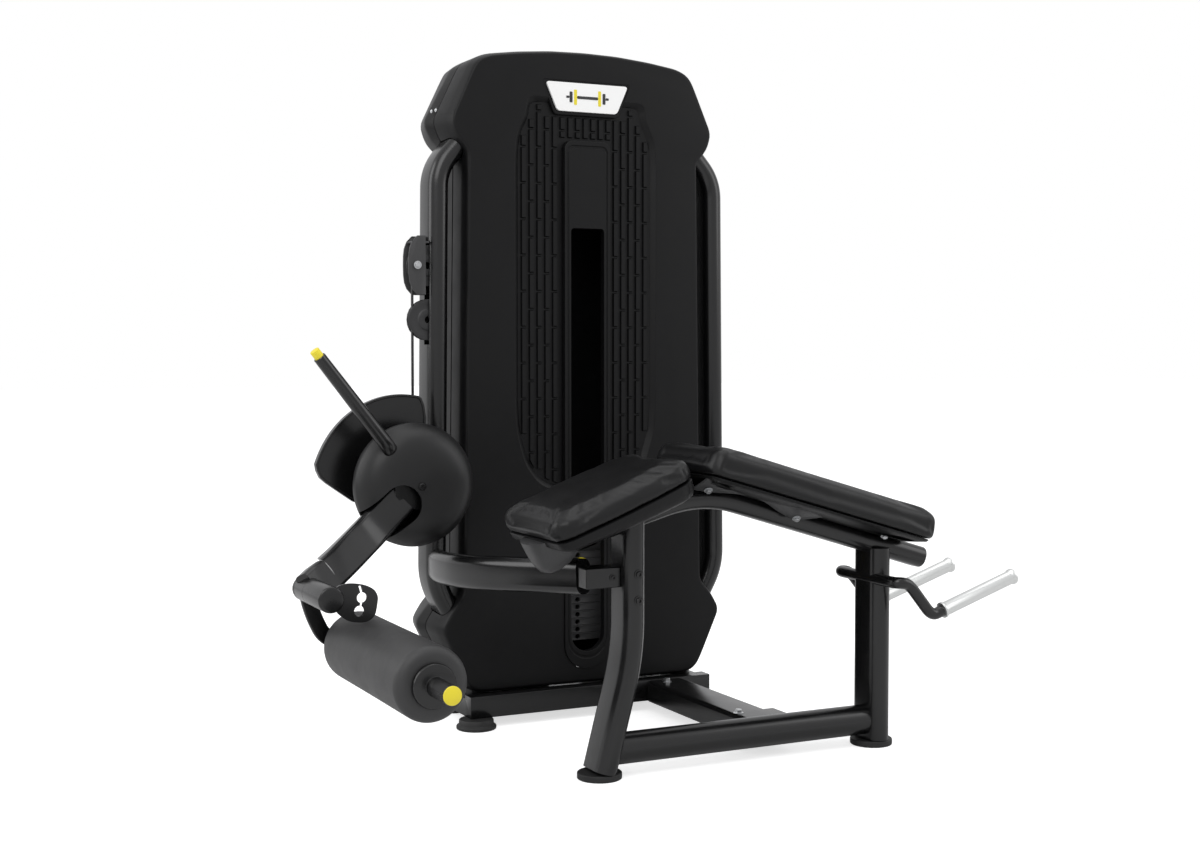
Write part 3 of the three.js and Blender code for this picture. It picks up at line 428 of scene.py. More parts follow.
def cover_ring(y, spread, inset):
    right = cover_half(spread)
    left = [(-x, z) for x, z in reversed(right[:-1])]
    return [at(x, y, z) for x, z in eased(drawn_in(right + left, inset))]


def column_path(side):
    box_low, box_high = box_mm("right_side_column")
    y = (box_low.y + box_high.y) / 2
    corners = [(262, box_low.z), (262, 150), (353, 315), (343, 1225), (262, 1318), (262, box_high.z)]
    return rounded_path([(side * x, y, z) for x, z in corners], 40)


def column_skin(side, grow=0.0):
    low, high = box_mm("right_side_column")
    return sweep(column_path(side), oval_section(46 + 2 * grow, high.y - low.y + 2 * grow), (1, 0, 0))


def window_outline(half_width, bottom, top, corner, steps=20):
    points = []
    for i in range(steps + 1):
        a = math.pi * (1 + i / steps)
        points.append((half_width * math.cos(a), bottom + half_width + half_width * math.sin(a)))
    for i in range(7):
        a = math.pi / 12 * i
        points.append((half_width - corner + corner * math.cos(a), top - corner + corner * math.sin(a)))
    for i in range(7):
        a = math.pi / 12 * (6 + i)
        points.append((corner - half_width + corner * math.cos(a), top - corner + corner * math.sin(a)))
    return points


FIELD_RIGHT = [(66, 508), (118, 528), (152, 572), (172, 640), (177, 700)]
FIELD_RIGHT += [(177, 1262), (172, 1310), (150, 1352), (146, 1392)]


def field_outline(inset=0.0):
    full = FIELD_RIGHT + [(-x, z) for x, z in reversed(FIELD_RIGHT)]
    return drawn_in(full, inset)


def badge_outline(grow):
    low, high = box_mm("name_badge")
    half_top, half_bottom, corner = high.x, high.x - 28, 9
    raw = [(-half_bottom, low.z), (half_bottom, low.z), (half_top, high.z), (-half_top, high.z)]
    return eased(drawn_in(raw, -grow), corner, 5)


def front_cover():
    rings = [
        (COVER_SEAM, 8, 1.5), (COVER_SEAM - 1.5, 8, 0), (COVER_CREASE + 8, 1.2, 0),
        (COVER_CREASE + 3, 0, 0.6), (COVER_FRONT + 10, 0, CHAMFER * 0.5), (COVER_FRONT + 4, 0, CHAMFER * 0.8),
        (COVER_FRONT + 1.4, 0, CHAMFER), (COVER_FRONT + 0.3, 0, CHAMFER + 1.8), (COVER_FRONT, 0, CHAMFER + 5),
    ]
    cover = moulded("front_cover_shell", loft([cover_ring(*ring) for ring in rings]), bevel=1.4)
    hollow = loft([
        cover_ring(COVER_SEAM + 1, 8, WALL),
        cover_ring(COVER_CREASE + 1, 0, WALL),
        cover_ring(COVER_FRONT + 8, 0, CHAMFER + WALL),
    ])
    apply_boolean(cover, hollow)
    apply_boolean(cover, block(-238, 238, COVER_CREASE + 10, COVER_SEAM + 20, HEM - 5, HEM + 20))
    apply_boolean(cover, prism(eased(field_outline(), 20, 4), COVER_FRONT - 20, COVER_FRONT + 40))
    apply_boolean(cover, prism(badge_outline(7), COVER_FRONT - 20, COVER_FRONT + 3))
    apply_boolean(cover, prism(window_outline(57.2, 103, 1298, 20), COVER_FRONT - 20, COVER_FRONT + 20))
    for side in (-1, 1):
        apply_boolean(cover, column_skin(side, 1.6))
    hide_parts("front_cover")


def field_tray():
    """The sunk floor behind the ribs, with walls that slope in from the cover's face."""
    front = COVER_FRONT + 0.4

    def ring(inset, depth):
        return [at(x, front + depth, z) for x, z in eased(field_outline(inset), 20, 4)]

    rings = [ring(FIELD_SLOPE, FIELD_DEPTH + 2.5), ring(-1.5, 3), ring(-1.5, 0.4)]
    rings += [ring(0, 0), ring(1, 0.4), ring(FIELD_SLOPE, FIELD_DEPTH)]
    tray = moulded("front_cover_field", loft(rings))
    apply_boolean(tray, prism(window_outline(57.2, 103, 1298, 20), front - 20, front + 30))
    seat = prism(badge_outline(8), COVER_FRONT + 0.6, COVER_FRONT + FIELD_DEPTH)
    moulded("badge_seat", seat, bevel=2.5, sharp=40)


def rear_cover():
    seam = COVER_SEAM + 2.4
    rings = [
        (seam, 8, 1.5), (seam + 1.5, 8.3, 0), (COVER_WIDEST - 6, 17, 0), (COVER_WIDEST, 18, 0),
        (COVER_WIDEST + 8, 17.4, 0.4), (COVER_BACK - 34, 8, 3), (COVER_BACK - 22, 6, 6),
        (COVER_BACK - 8, 3, 16), (COVER_BACK - 2, 0, 26), (COVER_BACK, 0, 36),
    ]
    cover = moulded("rear_cover_shell", loft([cover_ring(*ring) for ring in rings]), bevel=1.4)
    hollow = loft([
        cover_ring(seam - 1, 8, WALL),
        cover_ring(COVER_WIDEST, 18, WALL),
        cover_ring(COVER_BACK - 27, 6, 8),
        cover_ring(COVER_BACK - WALL, 0, 32),
    ])
    apply_boolean(cover, hollow)
    apply_boolean(cover, block(-238, 238, seam - 20, COVER_BACK - 14, HEM - 5, HEM + 20))
    for side in (-1, 1):
        apply_boolean(cover, column_skin(side, 1.6))
    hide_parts("rear_cover")


def field_limits(x):
    """Lowest and highest z of the sunk floor at a distance x from its middle."""
    points = field_outline(FIELD_SLOPE)
    crossings = []
    for (x0, z0), (x1, z1) in zip(points, points[1:] + points[:1]):
        if min(x0, x1) <= x < max(x0, x1):
            crossings.append(z0 + (z1 - z0) * (x - x0) / (x1 - x0))
    return min(crossings), max(crossings)


def ribs():
    """Upright bars in staggered lengths, filling the sunk field round the window and the badge."""
    pitch, width, length, joint, height = 19.0, 12.5, 80.0, 3.0, 5.0
    floor = COVER_FRONT + FIELD_DEPTH + 0.5
    columns = int(FIELD_RIBBED // pitch)
    verts, faces = [], []
    badge_low = box_mm("name_badge")[0].z - 12
    for column in range(-columns, columns + 1):
        x = column * pitch
        edges = [field_limits(x + side * width / 2) for side in (-1, 1)]
        lean = (edges[1][0] - edges[0][0]) / 2
        low = (edges[0][0] + edges[1][0]) / 2 + 6
        high = min(e[1] for e in edges) - 5
        if abs(x) < 62 + width / 2:
            low = max(low, 1304)
        if abs(x) < 98:
            high = min(high, badge_low)
        z = low - (length * (0.5 if column % 2 else 0.0)) - (low % length)
        while z < high:
            z0, z1 = max(z + joint / 2, low), min(z + length - joint / 2, high)
            slant = lean if z0 == low else 0.0
            if z1 - z0 > 8 + abs(slant):
                for half, y, trim in ((width / 2, floor, 0.0), (width / 2 - 1.6, floor - height, 1.8)):
                    foot_z, top_z = z0 + trim, z1 - trim
                    corners = ((-half, foot_z - slant), (half, foot_z + slant), (half, top_z), (-half, top_z))
                    for dx, corner_z in corners:
                        verts.append(at(x + dx, y, corner_z))
                base = len(verts) - 8
                faces.append(tuple(base + 4 + k for k in range(4)))
                for k in range(4):
                    n = (k + 1) % 4
                    faces.append((base + k, base + n, base + 4 + n, base + 4 + k))
            z += length
    moulded("front_cover_ribs", (verts, faces), sharp=25)


def window_frame():
    front = COVER_FRONT - 5
    body = prism(window_outline(56.6, 103.4, 1297.6, 19.6), front, COVER_FRONT + FIELD_DEPTH + 4)
    trim = moulded("window_trim", body, bevel=2.2)
    apply_boolean(trim, prism(window_outline(41, 143, 1102, 8), front - 20, COVER_FRONT + 30))
    ring_outer = prism(window_outline(50, 126, 1287, 14), front - 20, front + 2.5)
    ring_inner = prism(window_outline(46.5, 132, 1282, 12), front - 25, front + 10)
    groove = moulded("groove_tool", ring_outer, sharp=32)
    apply_boolean(groove, ring_inner)
    data = ([v.co.copy() for v in groove.data.vertices], [tuple(p.vertices) for p in groove.data.polygons])
    bpy.data.objects.remove(groove)
    apply_boolean(trim, data)
    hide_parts("window_frame")


def badge():
    low, high = box_mm("name_badge")
    body = prism(badge_outline(0), low.y, high.y)
    plate = make("badge_plate", *body, "white_badge_plastic", "frame", bevel=1.0, sharp=50)
    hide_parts("name_badge")
    z = (low.z + high.z) / 2
    y0, y1 = low.y - 0.5, low.y + 0.4
    parts = [(-26, 26, 3.2)]
    parts += [(sx * x - 3.6, sx * x + 3.6, h) for sx in (-1, 1) for x, h in ((30, 17), (41, 12))]
    parts += [(sx * 49 - 4, sx * 49 + 4, 2.6) for sx in (-1, 1)]
    for index, (x0, x1, half) in enumerate(parts):
        material = MATERIALS["yellow_plastic"] if index in (1, 3) else BADGE_INK
        outline = eased([(x0, z - half), (x1, z - half), (x1, z + half), (x0, z + half)], 2.0, 3)
        slot = "yellow_plastic" if index in (1, 3) else "black_cover_plastic"
        make(f"badge_mark_{index + 1}", *prism(outline, y0, y1), slot, "frame", material=material)


def columns():
    right = painted("column_tube_right", column_skin(1), bevel=1)
    left = painted("column_tube_left", column_skin(-1), bevel=1)
    lower = box_mm("side_pulley_lower")
    upper = box_mm("side_pulley_upper")
    slot = block(-420, -290, lower[0].y - 5, lower[1].y + 5, lower[0].z - 9, upper[1].z + 9)
    apply_boolean(left, slot)
    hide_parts("right_side_column")
    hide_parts("left_side_column")


def hex_bolt(name, place, heading, radius, height, body, sides=6):
    """A bolt head with a washer, standing on a face at place and pointing along heading."""
    place, heading = Vector(place), Vector(heading).normalized()
    side = heading.orthogonal().normalized()
    up = heading.cross(side)
    rings = []
    washer = radius * 1.45
    for r, h in ((washer, 0), (washer, 0.9), (radius * 1.02, 1.0)):
        rings.append([place + heading * h + side * u + up * v for u, v in round_section(r, 24)])
    for r, h in ((1.0, 1.05), (1.0, height * 0.8), (0.86, height)):
        ring = []
        for i in range(24):
            a = 2 * math.pi * i / 24
            flat_side = math.cos(math.pi / sides) / math.cos((a % (2 * math.pi / sides)) - math.pi / sides)
            k = radius * r * (flat_side if sides < 20 else 1.0)
            ring.append(place + heading * h + side * k * math.cos(a) + up * k * math.sin(a))
        rings.append(ring)
    verts, faces = loft([[at(*p) for p in ring] for ring in rings])
    return make(name, verts, faces, "bright_rod_steel", body, material=BOLT_ZINC, sharp=28)


def socket_bolt(name, place, heading, radius, height, body):
    """A dark socket-head bolt: a drum with a hexagonal well."""
    place, heading = Vector(place), Vector(heading).normalized()
    side = heading.orthogonal().normalized()
    up = heading.cross(side)
    rings = []
    well = 0.5 * radius
    steps = [(radius * 1.5, 0, 0), (radius * 1.5, 1.2, 0), (radius, 1.3, 0), (radius, height - 0.8, 0),
             (radius - 0.8, height, 0), (well * 1.1, height, 1), (well, height - 3, 1), (0.05, height - 3, 0)]
    for r, h, hexed in steps:
        ring = []
        for i in range(24):
            a = 2 * math.pi * i / 24
            k = r * (math.cos(math.pi / 6) / math.cos((a % (math.pi / 3)) - math.pi / 6) if hexed else 1.0)
            ring.append(place + heading * h + side * k * math.cos(a) + up * k * math.sin(a))
        rings.append(ring)
    verts, faces = loft([[at(*p) for p in ring] for ring in rings])
    return painted(name, (verts, faces), body, sharp=28)


# ---- cam, arm and roller
DISC_LOW, DISC_HIGH = box_mm("disc_cover")
PIVOT_X, PIVOT_Z = (DISC_LOW.x + DISC_HIGH.x) / 2, (DISC_LOW.z + DISC_HIGH.z) / 2
DISC_RADIUS = (DISC_HIGH.x - DISC_LOW.x) / 2
ROLLER_LOW, ROLLER_HIGH = box_mm("roller_foam")
ROLLER_X, ROLLER_Z = (ROLLER_LOW.x + ROLLER_HIGH.x) / 2, (ROLLER_LOW.z + ROLLER_HIGH.z) / 2
ROLLER_RADIUS = (ROLLER_HIGH.x - ROLLER_LOW.x) / 2
LINK_LOW, LINK_HIGH = box_mm("roller_link")
SLEEVE_X, SLEEVE_Z, SLEEVE_RADIUS = -728, 367, 25
ARM_EYE = (210.3, 267.7)  # y of the two faces of the arm's eye on the sleeve
SHAFT_BORE = 15.4


def arm_skin(grow=0.0):
    start, end = ARM_EYE
    path = rounded_path(
        [(PIVOT_X - 32, 421, PIVOT_Z - 28), (-544, 415, 460), (-630, 340, 411), (-700, 262, 382),
         (SLEEVE_X, (start + end) / 2, SLEEVE_Z)], 46, 10
    )
    return sweep(path, rounded_box_section(34 + 2 * grow, 72 + 2 * grow, 10 + grow), (0.25, 1, 0))


def along_sleeve(profile):
    return lathe_along_y(profile, SLEEVE_X, SLEEVE_Z)


def swing_arm():
    start, end = ARM_EYE
    arm = painted("arm_tube", arm_skin(), "arm", bevel=1)
    for radius, near, far in ((24, start + 1, end - 1), (62, 0, start), (62, end, 420)):
        apply_boolean(arm, plug(radius, near, far, SLEEVE_X, SLEEVE_Z))
    high = box_mm("swing_arm")[1]
    hub = [(0, 404), (50, 404), (52, 406), (52, 437), (50, 439), (34, 439), (34, high.y), (0, high.y)]
    hub_piece = painted("arm_hub", lathe_along_y(hub, PIVOT_X, PIVOT_Z), "arm", sharp=32)
    apply_boolean(hub_piece, plug(SHAFT_BORE, 450, high.y + 5, PIVOT_X, PIVOT_Z))
    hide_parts("swing_arm")
    rounded = [(0, start), (24.2, start), (25, start + 0.8), (25, end - 0.8), (24.2, end), (0, end)]
    eye = painted("arm_eye", along_sleeve(rounded), "arm", sharp=40)
    apply_boolean(eye, plug(15.3, start - 5, end + 5, SLEEVE_X, SLEEVE_Z, 64))


def cam_outline():
    """The sector plate: hollowed right edge, round rim, rounded low corner, straight lower edge."""
    first, last = 78, 167
    edge = [(58, 40), (100, 58), (147, 67.7), (172, 72.5), (185, 75.8)]
    rim = []
    for i in range(61):
        t = i / 60
        rim.append((188 + 6 * t ** 5, first + (last - first) * t))
    low = [(189, 171), (180, 175.5), (167, 179), (139, 187.3), (114, 199.9)]
    low += [(58, angle) for angle in (225, 265, 305, 350)]
    return [(PIVOT_X + r * math.cos(math.radians(a)), PIVOT_Z + r * math.sin(math.radians(a)))
            for r, a in edge + rim + low]


def drive_cam():
    low, high = box_mm("drive_cam")
    front, back = low.y, low.y + 16
    plate = painted("sector_plate", prism(cam_outline(), front, back), "cam", bevel=1)
    for y0, y1 in ((front - 5, front + 4), (back - 4, back + 5)):
        apply_boolean(plate, prism(drawn_in(cam_outline(), 5), y0, y1))
    smooth_by_angle(plate, 50)
    drum = box_mm("drive_cable")
    middle_y, floor = (drum[0].y + drum[1].y) / 2, 43.7
    flange = [(34, -8), (54, -8), (55, -7), (55, -6), (floor, -3.4)]
    flanges = flange + [(radius, -y) for radius, y in reversed(flange)]
    hub = [(0, front), (33, front), (34, front + 1)] + [(radius, middle_y + y) for radius, y in flanges]
    hub += [(34, high.y), (0, high.y)]
    hub_piece = painted("cam_drum", lathe_along_y(hub, PIVOT_X, PIVOT_Z), "cam", sharp=40)
    apply_boolean(hub_piece, plug(SHAFT_BORE, front - 5, high.y + 5, PIVOT_X, PIVOT_Z, 64))
    apply_boolean(plate, plug(33.8, front - 9, back + 9, PIVOT_X, PIVOT_Z, 64))
    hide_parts("drive_cam")


def adjuster_plate():
    """The index plate beside the sleeve, with its lock holes joined by a slot."""
    low, high = box_mm("adjuster_plate")
    outline = [(8, -22), (34, -44), (70, -48), (87, -36), (91, -15)]
    outline += [(93, 0), (86, 14), (68, 24), (37, 29), (8, 24)]
    outline = eased([(SLEEVE_X + x, SLEEVE_Z + z) for x, z in outline], 14, 5)
    plate = painted("index_plate", prism(outline, low.y, high.y), "roller_carrier", bevel=0.8, sharp=40)
    y0, y1 = low.y - 9, high.y + 9
    reach, slot = 61, 2.5

    def round_sleeve(radius, angle):
        return SLEEVE_X + radius * math.cos(angle), SLEEVE_Z + radius * math.sin(angle)

    for angle in (-24, 0):
        apply_boolean(plate, plug(10, y0, y1, *round_sleeve(reach, math.radians(angle)), 48))
    arc = [math.radians(22 - 5.5 * i) for i in range(9)]
    ring = [round_sleeve(reach + slot, a) for a in arc[::-1]] + [round_sleeve(reach - slot, a) for a in arc]
    apply_boolean(plate, prism(ring, y0, y1))
    apply_boolean(plate, plug(SLEEVE_RADIUS + 0.3, y0, y1, SLEEVE_X, SLEEVE_Z))
    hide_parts("adjuster_plate")


def dome_depth(t):
    """How far the disc cover's face falls back from its apex at a share t of its radius."""
    return 3.5 * t * t + 12.5 * t ** 7


def disc_cover():
    apex, rim = DISC_LOW.y, DISC_HIGH.y
    side = rim - 21
    scale = (side - apex) / dome_depth(1.0)
    profile = [(0, apex)]
    for i in range(1, 33):
        t = i / 32
        profile.append(((DISC_RADIUS - 1.5) * t, apex + scale * dome_depth(t)))
    inner = DISC_RADIUS - WALL
    profile += [(DISC_RADIUS, side + 3), (DISC_RADIUS, rim - 1), (DISC_RADIUS - 1, rim), (inner, rim)]
    profile.append((inner, side + 8))
    for i in range(20, 1, -1):
        t = i / 20
        profile.append(((DISC_RADIUS - 6 - WALL) * t, apex + WALL + scale * dome_depth(t)))
    profile.append((0, apex + WALL))
    # The dome uses the cover plastic with a lighter base colour, painted light for the light on its face.
    dome = make("disc_dome", *lathe_along_y(profile, PIVOT_X, PIVOT_Z, 128), "black_cover_plastic", "arm",
                bevel=0.8, sharp=40, material=LIT_DISC_PLASTIC)
    notch = link_outline((PIVOT_X - 176, PIVOT_Z - 152), 36, (PIVOT_X - 42, PIVOT_Z - 38), 42)
    apply_boolean(dome, prism(notch, apex - 40, rim - 6))
    apply_boolean(dome, arm_skin(1.5))
    smooth_by_angle(dome, 40)
    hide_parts("disc_cover")
    back = [(53, rim - 3.6), (inner - 0.4, rim - 3.6), (inner - 0.4, rim - 0.6), (53, rim - 0.6)]
    back_plate = painted("disc_back", lathe_along_y(back, PIVOT_X, PIVOT_Z), "arm", sharp=40)
    apply_boolean(back_plate, plug(52.5, rim - 20, rim + 20, PIVOT_X, PIVOT_Z))
    apply_boolean(back_plate, arm_skin(0.6))
    socket_bolt("disc_screw", (PIVOT_X, apex - 0.2, PIVOT_Z), (0, -1, 0), 6.0, 2.6, "arm")


LEVER_ROOT, LEVER_TIP = Vector((-509, 389, 619)), Vector((-671, 362, 816))
BUTTON_RADIUS = 10


def lever():
    heading = (LEVER_TIP - LEVER_ROOT).normalized()
    side = heading.cross(Vector((0, 1, 0))).normalized()
    up = heading.cross(side).normalized()
    length = (LEVER_TIP - LEVER_ROOT).length
    rings = []
    stations = [(-12, 0.15), (-6, 0.4), (6, 0.75), (22, 0.96), (36, 1.0), (length * 0.6, 1.0)]
    stations += [(length - 1.2, 1.0), (length, 0.93)]
    for distance, thin in stations:
        radius = 15.5 - 2.5 * max(0.0, distance) / length
        wide = min(1.0, 0.45 + thin) if distance < 30 else thin
        sink = (1 - thin) * radius * 0.6 if distance < 30 else 0
        point = LEVER_ROOT + heading * distance + Vector((0, sink, 0))
        rings.append([at(*(point + side * u * wide + up * v * thin)) for u, v in round_section(radius, 48)])
    rod = painted("lever_rod", loft(rings), "arm", sharp=40)
    socket = rod_between(LEVER_TIP - heading * 22, LEVER_TIP + heading * 5, BUTTON_RADIUS + 0.5, 48)
    apply_boolean(rod, socket)
    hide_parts("start_lever")
    rings = []
    for distance, drawn in ((-14, 0), (16, 0), (16.8, 0.6), (17, 1.4)):
        point = LEVER_TIP + heading * distance
        section = round_section(BUTTON_RADIUS - drawn, 48)
        rings.append([at(*(point + side * u + up * v)) for u, v in section])
    button = make("button_cap", *loft(rings), "yellow_plastic", "button", sharp=40)
    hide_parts("release_button")


def roller():
    low, high = ROLLER_LOW.y, ROLLER_HIGH.y
    soft, bulge = 17, 1.0
    profile = [(11, low + 3), (14, low + 0.5), (22, low)]
    for i in range(9):
        a = -math.pi / 2 + math.pi / 16 * i
        profile.append((ROLLER_RADIUS - soft + soft * math.cos(a), low + soft + soft * math.sin(a)))
    for t in (0.2, 0.4, 0.6, 0.8):
        profile.append((ROLLER_RADIUS - bulge * (0.4 - abs(t - 0.5)), low + (high - low) * t))
    for i in range(9):
        a = math.pi / 16 * i
        profile.append((ROLLER_RADIUS - soft + soft * math.cos(a), high - soft + soft * math.sin(a)))
    profile += [(22, high), (14, high - 0.5), (11, high - 3)]
    verts, faces = lathe_along_y(profile, ROLLER_X, ROLLER_Z, 128)
    foam = make("roller_sleeve", verts, faces, "black_foam_skin", "roller", sharp=60)
    apply_boolean(foam, plug(9.8, low - 10, high + 10, ROLLER_X, ROLLER_Z, 64))
    smooth_by_angle(foam, 60)
    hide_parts("roller_foam")
    tip = box_mm("axle_end_cap")[0].y
    axle_end = box_mm("roller_axle")[1].y
    shaft = [
        (0, tip + 3), (16.8, tip + 3), (17.5, tip + 3.8), (17.5, low - 16), (18, low - 15),
        (24, low - 14.5), (34, low - 13.6), (38.5, low - 12), (40, low - 9), (40, low - 3), (38.5, low - 1.6),
        (9, low - 1.5), (9, axle_end), (0, axle_end),
    ]
    skin = lathe_along_y(shaft, ROLLER_X, ROLLER_Z)
    axle = painted("axle_shaft", skin, "roller_carrier", bevel=0.5, sharp=40)
    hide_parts("roller_axle")
    cap = [(0, tip), (15.6, tip), (16.4, tip + 0.7), (16.6, tip + 1.6), (16.6, tip + 2.9), (0, tip + 2.9)]
    skin = lathe_along_y(cap, ROLLER_X, ROLLER_Z)
    cap_piece = make("axle_cap", *skin, "yellow_plastic", "roller_carrier", sharp=50)
    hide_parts("axle_end_cap")


def link_outline(a, ra, b, rb, steps=20):
    heading = math.atan2(b[1] - a[1], b[0] - a[0])
    points = []
    for centre, radius, start in ((b, rb, heading - math.pi / 2), (a, ra, heading + math.pi / 2)):
        for i in range(steps + 1):
            angle = start + math.pi * i / steps
            points.append((centre[0] + radius * math.cos(angle), centre[1] + radius * math.sin(angle)))
    return points


def roller_link():
    y0, back = ARM_EYE[1] + 0.3, LINK_HIGH.y
    front, eye_near = LINK_LOW.y, ARM_EYE[0]
    profile = [
        (0, front), (19, front + 0.2), (23, front + 1), (24.6, front + 2.6), (25, front + 5),
        (25, eye_near - 0.8), (24.4, eye_near - 0.2), (15, eye_near - 0.2), (15, y0),
        (24.4, y0), (25, y0 + 0.8), (25, back - 0.8), (24.4, back), (0, back),
    ]
    sleeve = painted("cross_sleeve", along_sleeve(profile), "roller_carrier", sharp=40)
    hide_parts("roller_link")
    y = (y0 + back) / 2
    corners = [(SLEEVE_X, y, SLEEVE_Z), (-716, y, 318), (-690, y, 264), (ROLLER_X, y, ROLLER_Z)]
    crank = sweep(rounded_path(corners, 26, 8), rounded_box_section(back - y0 - 0.6, 31, 3), (0, 1, 0))
    painted("link_crank", crank, "roller_carrier", sharp=40)
    eye = [(0, y0), (21, y0), (22, y0 + 1), (22, back - 1), (21, back), (0, back)]
    painted("link_eye", lathe_along_y(eye, ROLLER_X, ROLLER_Z), "roller_carrier", sharp=40)
    hex_bolt("axle_nut", (ROLLER_X, back, ROLLER_Z), (0, 1, 0), 9, 8, "roller_carrier")


# ---- bench


LEFT_FOOT_X, LEFT_LEG_X, RIGHT_LEG_X = -225, -165, 413


def leg_skins():
    section = oval_section(46, 90)
    left_top, right_top = box_mm("left_leg")[1].z, box_mm("right_leg")[1].z
    bend = rounded_path([(LEFT_FOOT_X, 0, 14), (LEFT_LEG_X, 0, 240), (LEFT_LEG_X, 0, left_top)], 70)
    upright = [Vector((RIGHT_LEG_X, 0, 14)), Vector((RIGHT_LEG_X, 0, right_top))]
    return sweep(bend, section, (1, 0, 0)), sweep(upright, section, (1, 0, 0))


FOOT_PROFILE = [(0, 0), (41, 0), (43.5, 1.2), (44, 3), (44, 7), (43, 8.6), (40, 9.6), (38.6, 11), (38, 20)]
FOOT_PROFILE += [(36.5, 22), (0, 22)]
BENCH_FOOT = [(0, 0), (42, 0), (44, 1.5), (44, 11.5), (42.5, 13), (0, 13)]


def foot(name, x, y, profile=FOOT_PROFILE):
    """A round foot, turned about the vertical."""
    rings = []
    for radius, z in profile:
        rings.append([at(x + u, y + v, z) for u, v in round_section(max(radius, 0.01), 72)])
    return make(name, *loft(rings), "black_rubber", "frame", bevel=0.5, sharp=40)


def legs():
    left, right = leg_skins()
    left_tube = painted("leg_tube_left", left, bevel=1)
    right_tube = painted("leg_tube_right", right, bevel=1)
    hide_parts("left_leg")
    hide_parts("right_leg")
    foot("bench_foot_left", LEFT_FOOT_X, 0, BENCH_FOOT)
    foot("bench_foot_right", RIGHT_LEG_X, 0, BENCH_FOOT)
    for index, z in enumerate((399, 348)):
        socket_bolt(f"leg_bolt_{index + 1}", (-163, -45.2, z), (0, -1, 0), 6.5, 4.5, "frame")
    for corner in ("front_left", "front_right", "rear_left", "rear_right"):
        low, high = box_mm(f"tower_foot_{corner}")
        piece = foot(f"tower_foot_{corner}_disc", (low.x + high.x) / 2, (low.y + high.y) / 2)
        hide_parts(f"tower_foot_{corner}")


def rails():
    rail = painted("rail_tube", rod_between((-215, 0, 53.5), (400, 0, 53.5), 31, 64))
    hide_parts("lower_rail")
    end = box_mm("connecting_rail")[1].y
    x = 180
    body = sweep([Vector((x, 20, 44)), Vector((x, end, 44))], rounded_box_section(90, 50, 9), (1, 0, 0))
    link = painted("floor_rail_tube", body, bevel=1)
    saddle = sweep([Vector((x, 14, 47)), Vector((x, 96, 47))], rounded_box_section(112, 56, 10), (1, 0, 0))
    painted("floor_rail_saddle", saddle, bevel=3)
    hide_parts("connecting_rail")
    for index, place in enumerate(((138, 84, 75), (171, 458, 69))):
        hex_bolt(f"rail_bolt_{index + 1}", place, (0, 0, 1), 7.5, 8, "frame")


def spine():
    path = rounded_path([(-250, 0, 480), (-6, 0, 550), (529, 0, 390)], 90)
    tube = painted("spine_tube", sweep(path, rounded_box_section(62, 44, 20), (0, 1, 0)), bevel=1)
    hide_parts("bench_spine")


def support():
    path = rounded_path([(-345, 575, 356), (-372, 470, 362), (-372, 320, 371), (-245, 30, 391)], 90)
    tube = painted("support_tube_skin", sweep(path, rounded_box_section(70, 44, 20), (0, 0, 1)), bevel=1.5)
    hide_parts("support_tube")
    painted("support_bracket", block(-262, -187, -18, 30, 372, 412), bevel=3, sharp=40)
    socket_bolt("support_bracket_bolt", (-205, -18.2, 392), (0, -1, 0), 5, 3.5, "frame")


def handles():
    reach = (box_mm("grip_far")[0].y + box_mm("grip_far")[1].y) / 2
    half = [(400, 0, 354), (400, reach - 6, 354), (412, reach, 354), (430, reach, 350)]
    half += [(488, reach, 281), (514, reach, 290)]
    for side in (-1, 1):
        path = rounded_path([(x, side * y, z) for x, y, z in half], 22, 10)
        label = "near" if side < 0 else "far"
        painted(f"handle_rod_{label}", sweep(path, round_section(12), (0.3, 0.2, 1)))
    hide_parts("handle_bar")
    start, end = Vector((513, 0, 290)), Vector((700, 0, 351))
    heading = (end - start).normalized()
    length = (end - start).length
    up = heading.cross(Vector((0, 1, 0))).normalized()
    profile = [(0, 0), (14, 0), (16.6, 0.8), (17, 2.2), (17, 5), (16.2, 7), (15.2, 9), (14.6, 11)]
    profile += [(14.6, length - 13), (15.2, length - 11), (16.2, length - 8.5), (17, length - 6)]
    profile += [(17, length - 2), (16.4, length - 0.8), (14, length), (0, length)]
    for side, label in ((-1, "near"), (1, "far")):
        origin = start + Vector((0, side * reach, 0))
        rings = []
        for radius, distance in profile:
            point = origin + heading * distance
            section = round_section(max(radius, 0.01), 64)
            rings.append([at(*(point + Vector((0, 1, 0)) * u + up * v)) for u, v in section])
        piece = make(f"grip_sleeve_{label}", *loft(rings), "silver_grip_metal", "frame", sharp=50)
        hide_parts(f"grip_{label}")


